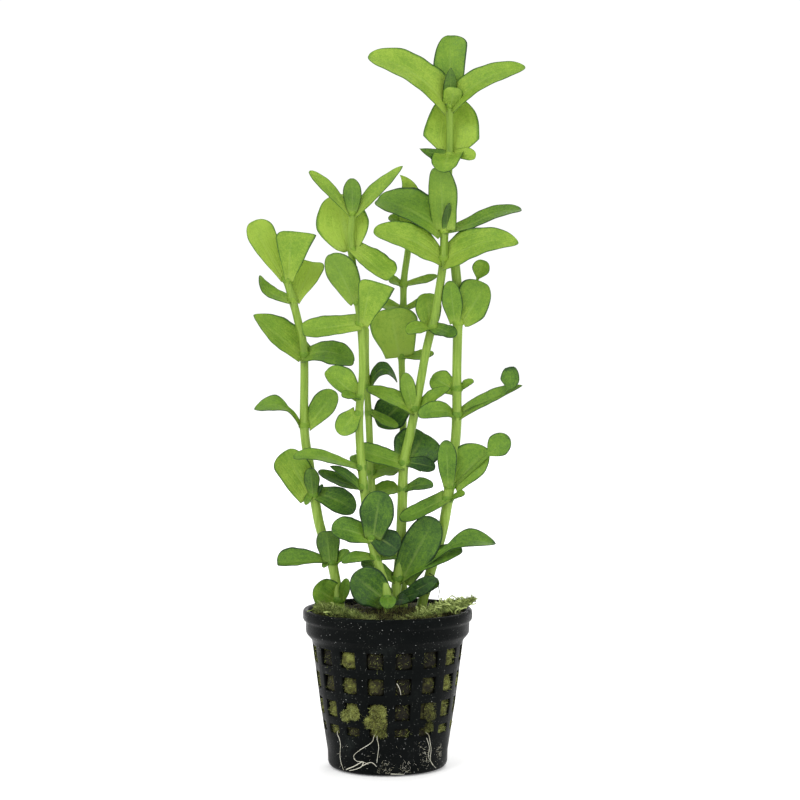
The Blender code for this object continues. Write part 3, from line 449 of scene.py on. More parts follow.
def piece(name, mesh, material, slot, nodes=()):
    """A smooth mesh object that rides on the part's one body and stands for some CAD nodes."""
    points, faces, marks = mesh
    data = bpy.data.meshes.new(name)
    data.from_pydata((np.asarray(points) * MM).tolist(), [], faces)
    data.polygons.foreach_set("use_smooth", [True] * len(faces))
    for mark, values in marks.items():
        attribute = data.attributes.new(mark, "FLOAT", "POINT")
        attribute.data.foreach_set("value", np.asarray(values, np.float32))
    data.materials.append(material)
    obj = place_object(name, data)
    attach(obj, "root")
    if nodes:
        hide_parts(*nodes)
    return obj


class Look:
    """A material that grows node by node. Each method that adds a node returns the node's output."""

    def __init__(self, name):
        self.material = bpy.data.materials.new(name)
        self.material.use_nodes = True
        self.tree = self.material.node_tree
        self.shader = self.tree.nodes["Principled BSDF"]
        self.where = self.place()

    def wire(self, node, values):
        """Links or sets a node's inputs, given by name or number."""
        for name, value in values.items():
            if isinstance(value, bpy.types.NodeSocket):
                self.tree.links.new(value, node.inputs[name])
            else:
                node.inputs[name].default_value = value

    def node(self, kind, output, values, **settings):
        made = self.tree.nodes.new("ShaderNode" + kind)
        for name, setting in settings.items():
            setattr(made, name, setting)
        self.wire(made, values)
        return made.outputs[output]

    def place(self, stretch=(1, 1, 1)):
        coordinates = self.node("TexCoord", "Object", {})
        return self.node("Mapping", "Vector", {"Vector": coordinates, "Scale": stretch})

    def mark(self, name):
        return self.node("Attribute", "Fac", {}, attribute_name=name)

    def calc(self, operation, *values):
        return self.node("Math", 0, dict(enumerate(values)), operation=operation)

    def noise(self, size, detail=2.0, roughness=0.5, where=None):
        """Noise from 0 to 1 with features of about size millimetres."""
        values = {"Scale": 1 / (size * MM), "Detail": detail, "Roughness": roughness}
        values["Vector"] = self.where if where is None else where
        return self.node("TexNoise", "Fac", values)

    def cells(self, size, feature, output):
        values = {"Scale": 1 / (size * MM), "Vector": self.where}
        return self.node("TexVoronoi", output, values, feature=feature)

    def between(self, value, low, high, to_low=0.0, to_high=1.0):
        """A value's place between two others, held to a range."""
        span = {"From Min": low, "From Max": high, "To Min": to_low, "To Max": to_high}
        return self.node("MapRange", "Result", {"Value": value} | span, interpolation_type="SMOOTHSTEP")

    def vary(self, level, spots, share, middle=0.5):
        """A level moved up and down by a share of how far a noise is from its middle."""
        return self.calc("MULTIPLY_ADD", self.calc("SUBTRACT", spots, middle), share, level)

    def mixed(self, share, first, second):
        return self.node("Mix", 2, {"Factor": share, 6: first, 7: second}, data_type="RGBA")

    def ramp(self, value, stops):
        colour = self.node("ValToRGB", "Color", {"Fac": value})
        elements = colour.node.color_ramp.elements
        while len(elements) < len(stops):
            elements.new(1)
        for element, (position, shade) in zip(elements, stops):
            element.position = position
            element.color = (*shade, 1)
        return colour

    def surface(self, colour, roughness, specular):
        self.wire(self.shader, {"Base Color": colour, "Roughness": roughness, "Specular IOR Level": specular})

    def relief(self, height, distance, strength):
        values = {"Height": height, "Distance": distance * MM, "Strength": strength}
        self.wire(self.shader, {"Normal": self.node("Bump", "Normal", values)})

    def let_light_through(self, colour, share):
        """Mixes in a share of light that comes through from behind."""
        behind = self.node("BsdfTranslucent", "BSDF", {"Color": colour})
        both = self.node("MixShader", "Shader", {"Fac": share, 1: self.shader.outputs["BSDF"], 2: behind})
        self.wire(self.tree.nodes["Material Output"], {"Surface": both})


def leaf_material():
    look = Look("leaf_surface")
    along, across, tint, under = (look.mark(name) for name in ("along", "across", "tint", "under"))
    off_middle = look.calc("ABSOLUTE", across)
    blotch, grain, speck = look.noise(6, 3), look.noise(0.9, 4, 0.65), look.noise(0.32, 2, 0.6)
    shifted = look.calc("MULTIPLY_ADD", blotch, 0.25, across)
    stripes = look.calc("ABSOLUTE", look.calc("COSINE", look.calc("MULTIPLY", shifted, 11.0)))
    vein = look.calc("MULTIPLY", look.calc("POWER", stripes, 14.0), look.between(along, 0.15, 0.95, 1, 0.1))
    net = look.between(look.cells(1.5, "DISTANCE_TO_EDGE", "Distance"), 0.0, 0.12, 1, 0)
    middle = look.calc("MULTIPLY", look.between(off_middle, 0.015, 0.11, 1, 0),
                       look.between(along, 0.3, 0.95, 1, 0.15))
    # A leaf's level of painted light and shade, moved by blotches, grain and specks, picks its green: low
    # levels paint it shaded, high ones lit.
    level = look.vary(look.vary(look.vary(tint, blotch, 0.5), grain, 0.5), speck, 0.45)
    level = look.calc("MULTIPLY_ADD", vein, 0.09, level)
    level = look.calc("MULTIPLY_ADD", net, 0.04, level)
    level = look.calc("ADD", level, look.between(along, 0.02, 0.4, 0.14, 0))
    level = look.calc("SUBTRACT", level, look.between(off_middle, 0.86, 1.0, 0, 0.62))
    level = look.calc("SUBTRACT", level, look.between(along, 0.95, 1.0, 0, 0.3))
    colour = look.ramp(level, GREENS)
    for share, paler in ((look.calc("MULTIPLY", middle, 0.24), (0.4, 0.55, 0.13, 1)),
                         (look.between(along, 0.0, 0.2, 0.22, 0), (0.4, 0.52, 0.13, 1)),
                         (look.calc("MULTIPLY", under, 0.2), (0.19, 0.31, 0.06, 1))):
        colour = look.mixed(share, colour, paler)
    look.surface(colour, look.between(grain, 0.3, 0.75, 0.4, 0.62), 0.24)
    height = look.calc("MULTIPLY_ADD", vein, -0.5, look.calc("MULTIPLY", grain, 0.45))
    look.relief(look.calc("MULTIPLY_ADD", net, -0.2, height), 0.18, 0.8)
    look.let_light_through(colour, 0.24)
    return look.material


def stem_material():
    look = Look("stem_surface")
    streaks = look.noise(0.7, 3, 0.6, look.place((1, 1, 0.06)))
    grain = look.noise(0.5, 3, 0.6)
    level = look.vary(look.vary(look.mark("height"), streaks, 0.9), grain, 0.25, 0.16)
    joint = look.calc("MULTIPLY", look.mark("joint"), 0.45)
    colour = look.mixed(joint, look.ramp(level, STEM_COLOURS), (0.19, 0.3, 0.04, 1))
    look.surface(colour, look.between(streaks, 0.2, 0.8, 0.34, 0.55), 0.3)
    look.relief(look.calc("MULTIPLY_ADD", grain, 0.4, streaks), 0.15, 0.6)
    look.let_light_through(colour, 0.15)
    return look.material


def dots(look, size, edge, kept, patches, most):
    """Pale dots in some cells of one size, most of them where patches is high."""
    dot = look.calc("MULTIPLY", look.between(look.cells(size, "F1", "Distance"), *edge, 1, 0),
                    look.between(look.cells(size, "F1", "Color"), *kept))
    return look.calc("MULTIPLY", dot, look.between(patches, *most, 1))


def plastic_material():
    look = Look("pot_plastic")
    haze, grain = look.noise(9, 4, 0.6), look.noise(0.7, 4, 0.7)
    dot = dots(look, 1.05, (0.07, 0.14), (0.3, 0.75), look.noise(7, 2), (0.38, 0.56, 0.1))
    dust = dots(look, 0.6, (0.1, 0.2), (0.35, 0.8, 0, 0.3), look.noise(9, 3), (0.36, 0.6, 0.2))
    colour = look.ramp(look.calc("MULTIPLY_ADD", grain, 0.4, haze), PLASTIC_COLOURS)
    colour = look.mixed(dot, colour, (0.45, 0.46, 0.44, 1))
    colour = look.mixed(dust, colour, (0.45, 0.47, 0.42, 1))
    look.surface(colour, look.between(look.calc("MULTIPLY_ADD", dot, 0.6, haze), 0.3, 0.9, 0.24, 0.6), 0.025)
    look.wire(look.shader, {"Specular Tint": (0.6, 0.95, 1, 1)})
    look.relief(look.calc("MULTIPLY_ADD", dot, 1.5, grain), 0.1, 0.5)
    return look.material


def moss_material(name, stops, spread):
    """Fibres and lumps that take their colour from a mark for how lit they are."""
    look = Look(name)
    clumps, grain = look.noise(2.2, 3, 0.6), look.noise(0.35, 3, 0.7)
    level = look.vary(look.vary(look.mark("lit"), clumps, spread), grain, spread)
    look.surface(look.ramp(level, stops), look.between(grain, 0.3, 0.7, 0.65, 0.95), 0.2)
    look.relief(grain, 0.3, 0.8)
    return look.material


# The plant

# A stem swells this far to both sides of a joint, and its brightness falls with its height.
STEM_SAMPLES, STEM_SIDES = 200, 20
JOINT_REACH, JOINT_SWELL = 1.5, 0.14
STEM_LEVEL_HEIGHTS, STEM_LEVELS = [45, 100, 200], [0.62, 0.52, 0.45]


def stem_path(name, count):
    """Points and radii along a stem, bottom first."""
    (top, bottom), points = STEMS[name]
    path = smooth(points, count)[::-1]
    return path, np.interp(path[:, 2], [path[0, 2], path[-1, 2]], [bottom, top])


def stem_at(name, height):
    path, radii = stem_path(name, STEM_SAMPLES)
    centre = [np.interp(height, path[:, 2], path[:, axis]) for axis in (0, 1)]
    return np.array([*centre, height]), np.interp(height, path[:, 2], radii)


def stem_of(group):
    """The stem that a group of leaves is named for."""
    return group.split("_leaves")[0].removesuffix("_stem") + "_stem"


def make_stem(name, material):
    """A stem with faint ridges that swells at its nodes and narrows to a rounded tip."""
    points = STEMS[name][1]
    path, radii = stem_path(name, int(points[0][2] - points[-1][2]) * 2)
    up = path[:, 2:3]
    angles = turns(STEM_SIDES)
    swell = np.zeros(len(path))
    for group, (height, _) in LEAVES.items():
        if stem_of(group) == name:
            swell = np.maximum(swell, np.exp(-((path[:, 2] - height) / JOINT_REACH) ** 2))
    runs = units(np.gradient(path, axis=0))
    side = units(np.cross(runs, (0.0, 1.0, 0.0)))
    ridge = 1 + 0.035 * np.cos(4 * (angles[None] + up * 0.02)) + 0.02 * np.sin(7 * angles[None] + up * 0.11)
    ends = np.sqrt(np.clip((path[-1, 2] - path[:, 2] + 0.25) / 0.9, 0.05, 1))
    size = (radii * ends + JOINT_SWELL * swell)[:, None] * ridge
    rings = hoops(path, size[..., None], side, np.cross(side, runs), angles)
    level = np.interp(path[:, 2], STEM_LEVEL_HEIGHTS, STEM_LEVELS)
    marks = {"joint": np.repeat(swell, STEM_SIDES), "height": np.repeat(level, STEM_SIDES)}
    return piece("stalk_" + name, loops(rings, marks=marks), material, "stem", [name])


# A leaf's base keeps this clearance from the stem, and over the run it closes in on it as a sheath.
BASE_CLEARANCE, BASE_RUN, BASE_SHEATH = 0.1, 3.5, 0.45

# A leaf's mesh has rows from base to tip, and points across it from margin to margin.
LEAF_ROWS = 36
ACROSS = np.array([-1, -0.94, -0.82, -0.64, -0.44, -0.26, -0.12, 0, 0.12, 0.26, 0.44, 0.64, 0.82, 0.94, 1])

# How thick a leaf is in its middle and at its margin, and its groove above and rib below the midrib.
BLADE, RIM = 0.4, 0.16
GROOVE, RIB = 0.12, 0.22


def half_width(share, spec, across):
    """Share of the leaf's half width at a share of its length, on one side of its midrib."""
    if share < spec.stalk:
        return spec.base
    share = (share - spec.stalk) / (1 - spec.stalk)
    widest = spec.widest + across * spec.slide
    if share < widest:
        rise = share / widest
        rounded = math.sin(math.pi / 2 * rise) ** spec.swell
        wide = spec.base + (1 - spec.base) * (rounded + (rise - rounded) * spec.straight)
    else:
        wide = max(0, 1 - ((share - widest) / (1 - widest)) ** 2) ** spec.tip
    return wide * (1 + across * spec.lean)


def midrib(ends, spec, shares):
    """Points of a leaf's midrib at shares of its length."""
    start, end, normal, side = ends
    s = shares[:, None]
    middle = (start + end) / 2 + normal * spec.arch * 2
    bent = (1 - s) ** 2 * start + 2 * s * (1 - s) * middle + s**2 * end
    bent = bent + normal * spec.hook * np.sin(2 * math.pi * s)
    return bent + side * spec.sway * 6.75 * s**2 * (1 - s)


def leaf_piece(centre, radius, spec, tint, seed):
    """One leaf: a thin blade with a rounded margin, a groove over its midrib and slightly wavy sides.

    Its base takes in the stem: the base's edge lies against the stem and runs on past it at both sides.
    """
    reach = np.array(spec.reach, float)
    start = centre + unit((reach[0], reach[1], 0)) * (radius + BASE_CLEARANCE)
    end = centre + reach
    along = unit(end - start)
    face = np.array(spec.face, float)
    normal = unit(face - face.dot(along) * along)
    ends = (start, end, normal, np.cross(along, normal))

    shares = 1 - (1 - np.linspace(0, 1, LEAF_ROWS)) ** 1.45
    tangents = units(midrib(ends, spec, shares + 0.01) - midrib(ends, spec, shares - 0.01))
    ups = units(normal - (tangents @ normal)[:, None] * tangents)
    outs = units(np.cross(tangents, ups))
    left, right = (np.array([half_width(share, spec, across) for share in shares]) * spec.width / 2
                   for across in (-1, 1))
    top, s = ACROSS[None], shares[:, None]
    widths = np.where(top < 0, left[:, None], right[:, None])
    phases = np.random.default_rng(seed).uniform(0, 2 * math.pi, 5)
    uneven = 1 + 0.02 * np.sin(2 * math.pi * 1.6 * s + phases[3] + np.sign(top)) * np.abs(top)
    offset = widths * top * uneven

    # Behind its start the blade closes in on the stem, and its outer parts run back beside the stem.
    near = np.clip(1 - s * np.linalg.norm(end - start) / BASE_RUN, 0, 1) ** 2
    clear = radius + BASE_CLEARANCE
    round_stem = clear - np.sqrt(np.clip(clear**2 - offset**2, 0, None))
    back = np.minimum(round_stem, clear + 0.4) * near
    beside = np.where(np.abs(offset) < clear, 1, np.clip(2 - np.abs(offset) / clear, 0, 1))
    lying = np.sqrt(np.clip(1 - tangents[:, 2] ** 2, 0, 1))[:, None]
    pulled = (back + BASE_SHEATH * beside * near) * lying

    waves = (0.045 * np.sin(2 * math.pi * 1.2 * s + phases[0]) * top
             + 0.03 * np.sin(2 * math.pi * 1.7 * s + phases[1]) * top**2
             + 0.02 * np.sin(2 * math.pi * 4.3 * s + phases[2] + top) * np.abs(top) ** 3)
    bend = np.abs(top) ** 1.5 * spec.cup * 2 + waves * np.clip(s * 3, 0, 1)
    shape = midrib(ends, spec, shares)[:, None] + outs[:, None] * offset[..., None]
    shape = shape - tangents[:, None] * pulled[..., None] + ups[:, None] * (widths * bend)[..., None]
    thick = RIM + (BLADE - RIM) * np.sqrt(np.clip(1 - np.abs(top) ** 5, 0, 1))
    thick = thick / 2 * np.clip(widths / 0.7, 0.25, 1)
    rib = np.exp(-(top / 0.1) ** 2) * np.clip(1.1 - s, 0, 1)
    upper = shape + ups[:, None] * (thick - GROOVE * rib)[..., None]
    lower = shape - ups[:, None] * (thick + RIB * rib)[..., None]
    rings = np.concatenate([upper, lower[:, -2:0:-1]], axis=1)
    below = np.concatenate([np.zeros(len(ACROSS)), np.ones(len(ACROSS) - 2)])
    below[0] = below[len(ACROSS) - 1] = 0.5
    count = rings.shape[1]
    rows = LEAF_ROWS - 1
    # Its marks: place along and across, underside, and its level of painted light and shade.
    marks = {"along": np.repeat(shares[:-1], count), "across": np.tile([*ACROSS, *ACROSS[-2:0:-1]], rows),
             "under": np.tile(below, rows), "tint": np.full(rows * count, tint)}
    return loops(rings[:-1], end, marks)


COLLAR_SIDES, COLLAR_RINGS, COLLAR_HALF_HEIGHT = 24, 9, 1.15


def collar(stem, height, specs, tint):
    """The swollen joint where the bases of a node's leaves run together round the stem."""
    angles = turns(COLLAR_SIDES)
    toward = sum(np.clip(np.cos(angles - math.atan2(spec.reach[1], spec.reach[0])), 0, 1) ** 3
                 for spec in specs)
    rings = []
    for share in np.linspace(-1, 1, COLLAR_RINGS):
        centre, radius = stem_at(stem, height + share * COLLAR_HALF_HEIGHT)
        bulge = math.sqrt(max(0, 1 - share**2))
        size = radius - 0.1 + bulge * (0.26 + 0.34 * np.clip(toward, 0, 1))
        rings.append(centre + np.stack([size * np.cos(angles), size * np.sin(angles), 0 * angles], 1))
    # The collar takes its node's level of painted light and shade.
    marks = {"along": 0.3, "across": 0.4, "tint": tint}
    count = COLLAR_RINGS * COLLAR_SIDES
    return loops(rings, marks={name: np.full(count, value) for name, value in marks.items()})


def make_leaves(name, material):
    height, specs = LEAVES[name]
    stem = stem_of(name)
    centre, radius = stem_at(stem, height)
    # Leaves without a level of their own take the painted light and shade of their node's height, with a
    # random change of tone, and the collar is painted a little darker.
    usual = np.interp(height, TINT_HEIGHTS, TINTS)
    parts = [collar(stem, height, specs, usual - COLLAR_DARKER)]
    for number, spec in enumerate(specs):
        seed = sum(ord(letter) * (place + 1) for place, letter in enumerate(f"{name}.{number}"))
        tint = spec.tint
        if tint is None:
            tint = usual + np.random.default_rng(seed).uniform(-TINT_VARIES, TINT_VARIES)
        parts.append(leaf_piece(centre, radius, spec, tint, seed))
    return piece("foliage_" + name, join(parts), material, "leaf", [name])


# The pot and what fills it

def ring_points(degrees, radius, height):
    """Points at angles from the front, -Y, counted towards +X."""
    angle = np.radians(degrees)
    return np.stack([radius * np.sin(angle), -radius * np.cos(angle), height + 0 * angle], -1)


def wall_radius(height):
    """Outer radius of the pot's wall, from its base's edge up to its lip."""
    return np.interp(height, [0, 0.25, 0.75, 1.6, 4.8, 9.3, 19.8, 36.3, 38.2],
                     [16.6, 17.2, 17.7, 18, 18.1, 18.8, 20.4, 22.5, 22.8])


def pot_rings():
    """Outer and inner radius and height of each ring, from the middle of the base to the lip's top."""
    rings = [((radius, 0), (radius, FLOOR)) for radius in SLOT_RADII]
    rings += [((BASE_RADIUS, 0), (16.2, FLOOR)), ((17.2, 0.25), (16.5, 1.8)), ((17.7, 0.75), (16.8, 2.2)),
              ((18, 1.6), (17, 3.4)), ((18.1, 4.8), (17, 4.8)), ((18.8, 9.3), (17.7, 9.3))]
    for low, high in HOLE_ROWS:
        rings += [((wall_radius(z), z), (wall_radius(z) - WALL, z)) for z in (low, (low + high) / 2, high)]
    rings += [((22.75, 37.9), (21.6, 38.1)), ((23, 38.5), (21.8, 38.7)), ((24.2, 39.9), (23, 40.4)),
              ((24.5, 40.4), (23.2, 40.9)), ((24.6, 41.2), (23.3, 41.6)), ((24.65, 43.4), (23.4, 43.2)),
              ((24.8, 43.9), (23.45, 43.8)), ((25.3, 44.3), (23.5, 44.2)), ((LIP_RADIUS, 44.9), (23.5, 44.8)),
              ((LIP_RADIUS, 46.4), (23.6, 46)), ((25.35, 47), (23.7, 46.7)),
              ((25, POT_HEIGHT), (24.1, POT_HEIGHT))]
    return rings


# A small nub on the lip: its place across and to the front, its spread both ways and how high it stands.
NUB_X, NUB_Y, NUB_WIDE, NUB_DEEP, NUB_RISE, NUB_FROM = 24.4, 5, 1.1, 1.2, 0.55, 46.6
EDGE_ROUND, EDGE_ANGLE = 0.22, 40


def make_pot(material):
    """The pot's two skins, joined round the lip and through each hole, with softened edges."""
    angles, open_steps = [], []
    for column in range(COLUMNS):
        first = FIRST_COLUMN_DEGREES + column * 360 / COLUMNS - HOLE_DEGREES / 2
        bar = 360 / COLUMNS - HOLE_DEGREES
        angles += [first + HOLE_DEGREES * k / HOLE_STEPS for k in range(HOLE_STEPS)]
        angles += [first + HOLE_DEGREES + bar * k / BAR_STEPS for k in range(BAR_STEPS)]
        open_steps += [column] * HOLE_STEPS + [None] * BAR_STEPS
    angles = np.array(angles)
    rings = pot_rings()
    sides = len(angles)
    skins = [ring_points(angles, *ring[skin]) for skin in (0, 1) for ring in rings]
    points = np.vstack([*skins, [(0, 0, 0), (0, 0, FLOOR)]])
    nub = np.exp(-((np.abs(points[:, 0] - NUB_X) / NUB_WIDE) ** 2) - ((points[:, 1] + NUB_Y) / NUB_DEEP) ** 2)
    high = points[:, 2] > NUB_FROM
    points[high, 2] += NUB_RISE * nub[high]
    shift = len(rings) * sides
    heights = [ring[0][1] for ring in rings]
    hole_levels = {heights.index(low) + above for low, _ in HOLE_ROWS for above in (0, 1)}
    faces = []

    def is_open(level, k):
        column = open_steps[k % sides]
        return column is not None and (level in hole_levels or (level == 0 and column % 2 == 0))

    for level in range(len(rings) - 1):
        for k in range(sides):
            a, b = level * sides + k, level * sides + (k + 1) % sides
            c, d = b + sides, a + sides
            e, f, g, h = a + shift, b + shift, c + shift, d + shift
            if not is_open(level, k):
                faces += [(a, b, c, d), (h, g, f, e)]
                continue
            walls = {(level, k - 1): (e, h, d, a), (level, k + 1): (c, g, f, b),
                     (level - 1, k): (b, f, e, a), (level + 1, k): (h, g, c, d)}
            faces += [wall for beside, wall in walls.items() if not is_open(*beside)]
    last = (len(rings) - 1) * sides
    for k in range(sides):
        after = (k + 1) % sides
        faces += [(last + k, last + after, last + after + shift, last + k + shift),
                  (2 * shift, after, k), (2 * shift + 1, k + shift, after + shift)]
    pot = piece("pot_shell", (points, faces, {}), material, "black_plastic", ["net_pot"])
    bevel = pot.modifiers.new("soft_edges", "BEVEL")
    bevel.width = EDGE_ROUND * MM
    bevel.segments = 2
    bevel.limit_method = "ANGLE"
    bevel.angle_limit = math.radians(EDGE_ANGLE)


def fibres(starts, ways, lengths, radius, curl, local, lit, spans=3):
    """Many thin curved fibres as one mesh, each a tapering three-sided tube."""
    count = len(starts)
    ways = units(ways)
    at = starts.copy()
    rings, lights = [], []
    for step in range(spans + 1):
        side = units(np.cross(ways, units(local.normal(size=3) + [0, 0, 3])))
        rings.append(hoops(at, radius * (1 - 0.75 * step / spans), side, np.cross(ways, side), turns(3)))
        lights.append(np.repeat((lit + 0.12 * (step / spans))[:, None], 3, 1))
        at = at + ways * (lengths / spans)[:, None]
        ways = units(ways + curl * local.normal(size=(count, 3)))
    points = np.stack(rings, 1).reshape(-1, 3)
    per = 3 * (spans + 1)
    one = [*tube(spans + 1, 3), (per - 3, per - 2, per - 1)]
    faces = [tuple(corner + per * n for corner in face) for n in range(count) for face in one]
    return points, faces, {"lit": np.stack(lights, 1).reshape(-1)}


def tangle(starts, spread, lean, lengths, radius, curl, local, lit, low, high):
    """Fibres that spread from their starts and lean one way, lit from a low to a high step off a level."""
    count = len(starts)
    ways = local.normal(size=(count, 3)) * spread + lean
    return fibres(starts, ways, local.uniform(*lengths, count), radius, curl, local,
                  lit + local.uniform(low, high, count))


def fuzz(surface, out, count, length, lit, local, radius, curl, spread, uneven=1.0):
    """Fibres from random places of a surface, roughly outwards."""
    starts = surface[local.integers(0, len(surface), count)] + local.normal(size=(count, 3)) * 0.12
    return tangle(starts, spread, out, (0.5 * length, 1.3 * length), radius, curl, local,
                  lit, -0.25 * uneven, 0.2 * uneven)


def pillow(centre, out, half_wide, half_tall, bulge, lit, seed, steps=9):
    """A lumpy closed pad that faces out, and the points of its front."""
    side = np.cross(UPWARD, out)
    grid = np.linspace(-1, 1, steps)
    x, z = np.meshgrid(grid, grid, indexing="ij")
    round_x, round_z = x * np.sqrt(1 - z**2 / 2.6), z * np.sqrt(1 - x**2 / 2.6)
    flat = centre + side * (round_x * half_wide)[..., None] + UPWARD * (round_z * half_tall)[..., None]
    rise = np.clip(1 - x**2, 0, 1) * np.clip(1 - z**2, 0, 1)
    lumps = 1 + 0.5 * ripple(flat, 1.6, seed) * rise**0.3
    front = (flat + out * (bulge * np.sqrt(rise) * lumps)[..., None]).reshape(-1, 3)
    back = (flat - out * (0.5 * rise)[..., None] - out * 0.05).reshape(-1, 3)
    shift = steps * steps
    faces = []
    for low in range(0, shift - steps, steps):
        for a in range(low, low + steps - 1):
            b = a + steps
            faces += [(a, b, b + 1, a + 1), (a + 1 + shift, b + 1 + shift, b + shift, a + shift)]
    rim = [*range(steps - 1), *range(steps - 1, shift - 1, steps), *range(shift - 1, shift - steps, -1),
           *range(shift - steps, 0, -steps)]
    faces += [(a, b, b + shift, a + shift) for a, b in zip(rim, rim[1:] + rim[:1])]
    points = np.vstack([front, back])
    return (points, faces, {"lit": lit + 0.15 * ripple(points, 0.8, seed + 1)}), front


# Fuzz of the moss in the holes: radius, curl, spread and how unevenly it is lit.
BRIGHT_FUZZ = (0.07, 0.8, 1.0, 1.7)
DARK_FUZZ = (0.055, 0.7, 1.4)
LUMP_FIBRES = 300


def make_hole_moss(material):
    """Moss in every hole, brighter where the photograph shows it lit, and lumps that swell over the bars."""
    local = np.random.default_rng(HOLE_SEED)
    parts = []
    for column in range(-7, 9):
        degrees = np.array(FIRST_COLUMN_DEGREES + column * 360 / COLUMNS)
        out = ring_points(degrees, 1.0, 0.0)
        for row, (low, high) in enumerate(HOLE_ROWS):
            middle = (low + high) / 2
            drawn = local.uniform(0.1, 0.85)
            lit = HOLE_LIGHT[column][row] if column in HOLE_LIGHT else drawn
            centre = ring_points(degrees, wall_radius(middle) - WALL - 0.2, middle)
            bulge = 0.6 + lit * 0.45 + SWELLING.get((column, row), 0)
            half = math.radians(HOLE_DEGREES / 2) * np.linalg.norm(centre[:2]) + 0.25
            pad, surface = pillow(centre, out, half, (high - low) / 2 + 0.35, bulge,
                                  max(0.02, lit * 0.85 - 0.22), 40 + column * 4 + row)
            parts.append(pad)
            near = 1 if column in HOLE_LIGHT else 0.45
            if lit < 0.38:
                parts.append(fuzz(surface, out, int(near * 34), 1.6, 0.8, local, *DARK_FUZZ))
            parts.append(fuzz(surface, out, int(near * (24 + 80 * lit)), 0.7 + 0.4 * lit, lit * 0.95, local,
                              *BRIGHT_FUZZ))
    for number, (x, height, wide, tall, bulge, lit) in enumerate(LUMPS):
        radius = wall_radius(height) - 0.15
        degrees = np.array(math.degrees(math.asin(x / radius)))
        out = ring_points(degrees, 1.0, 0.0)
        pad, surface = pillow(ring_points(degrees, radius, height), out, wide, tall, bulge, lit * 0.7,
                              200 + number, 13)
        parts += [pad, fuzz(surface, out, LUMP_FIBRES, 0.8, lit * 0.95, local, *BRIGHT_FUZZ)]
    return piece("moss_in_holes", join(parts), material, "moss")


# The core's sides and the rings of its top, and how many fibres lie on the top, in its middle, near the
# pot's rim and in one pale tuft.
CORE_SIDES, TOP_RINGS = 120, 21
TOP_FIBRES, BED_FIBRES, RIM_FIBRES, TUFT_FIBRES = 1500, 420, 2200, 240
TUFT = np.array([-7.7, -20.4, MEDIUM_TOP + 0.4])


def medium_core():
    """The rough core's mesh, and the points of its top."""
    angles = np.linspace(0, 360, CORE_SIDES, endpoint=False)
    profile = [(0.01, FLOOR + 0.35), (8, FLOOR + 0.35), (15.6, FLOOR + 0.4), (16.5, 3.2)]
    profile += [(wall_radius(z) - WALL - 0.45, z) for z in np.arange(5, 38, 1.2)]
    profile += [(21.2, 38.8), (22.4, 40.8), (22.8, 42.5), (22.9, 44.6), (22.6, 45.6)]
    profile += [(radius, MEDIUM_TOP - 0.2) for radius in np.arange(21.5, 0.6, -1.0)]
    rings = []
    for radius, height in profile:
        ring = ring_points(angles, radius, height)
        if radius < 22.7 and height > 44:
            ring[:, 2] += 0.55 * ripple(ring, 5, 3) + 0.3 * ripple(ring, 1.6, 4)
        elif 4 < height < 44:
            ring -= units(ring * [1, 1, 0]) * (0.25 + 0.25 * ripple(ring, 2.5, 5))[:, None]
        rings.append(ring)
    points, faces, _ = loops(rings)
    top = np.vstack(rings[-TOP_RINGS:])
    return (points, faces, {"lit": 0.3 + 0.2 * ripple(points, 4, 8)}), top


def make_medium(material):
    """The fibrous medium: a rough core in the pot with fibres on its top."""
    local = np.random.default_rng(MEDIUM_SEED)
    core, top = medium_core()
    spots = top[np.linalg.norm(top[:, :2], axis=1) < 22.6]
    starts = spots[local.integers(0, len(spots), TOP_FIBRES)]
    starts = starts + local.normal(size=(TOP_FIBRES, 3)) * [0.5, 0.5, 0.1]
    parts = [core, tangle(starts, [1, 1, 0.35], [0, 0, 0.25], (1.2, 4.0), 0.1, 0.5, local, 0, 0.15, 0.75)]
    starts = np.stack([local.uniform(-3, 15, BED_FIBRES), local.uniform(-16, -5, BED_FIBRES),
                       np.full(BED_FIBRES, MEDIUM_TOP + 0.2)], 1)
    parts.append(tangle(starts, [0.7, 0.5, 0.3], [0.2, 0, 0.8], (1.5, 4.5), 0.13, 0.45, local, 0, 0.2, 0.75))
    turn = local.uniform(-75, 75, RIM_FIBRES)
    starts = ring_points(turn, local.uniform(17, 23.2, RIM_FIBRES), MEDIUM_TOP + 0.5)
    starts[:, 2] += 0.5 * ripple(starts, 4, 6)
    patch = 0.72 + 0.25 * ripple(starts, 6, 7)
    parts.append(tangle(starts, [0.8, 0.8, 0.5], [0, 0, 0.7], (0.8, 2.6), 0.085, 0.6, local,
                        patch, -0.3, 0.25))
    starts = TUFT + local.normal(size=(TUFT_FIBRES, 3)) * [1.0, 0.5, 0.35]
    parts.append(tangle(starts, 1, [0, -0.3, 0.8], (0.8, 1.7), 0.09, 0.7, local, 0, 0.7, 1.2))
    return piece("medium_core", join(parts), material, "medium", ["growing_medium"])


def swept(path, sizes, sides, lit, flat=1.0):
    """A round or flattened strand along a path, closed at both ends."""
    runs = units(np.gradient(path, axis=0))
    side = units(np.cross(runs, (0.31, 0.9, 0.12)))
    sizes = np.broadcast_to(sizes, len(path))[:, None, None]
    rings = hoops(path, sizes, side, np.cross(side, runs), turns(sides), flat)
    return loops(rings, marks={"lit": np.repeat(np.broadcast_to(lit, len(path)), sides)})


def wander(start, way, length, size, local, steps=14):
    """A curling path that keeps roughly to one direction."""
    at, way, path = np.array(start, float), unit(way), []
    turn = local.normal(size=3)
    for _ in range(steps):
        path.append(at.copy())
        turn = 0.6 * turn + local.normal(size=3) * [1, 1, 0.6]
        way = unit(way + size * turn)
        at = at + way * length / steps
    return smooth(path, steps * 2)


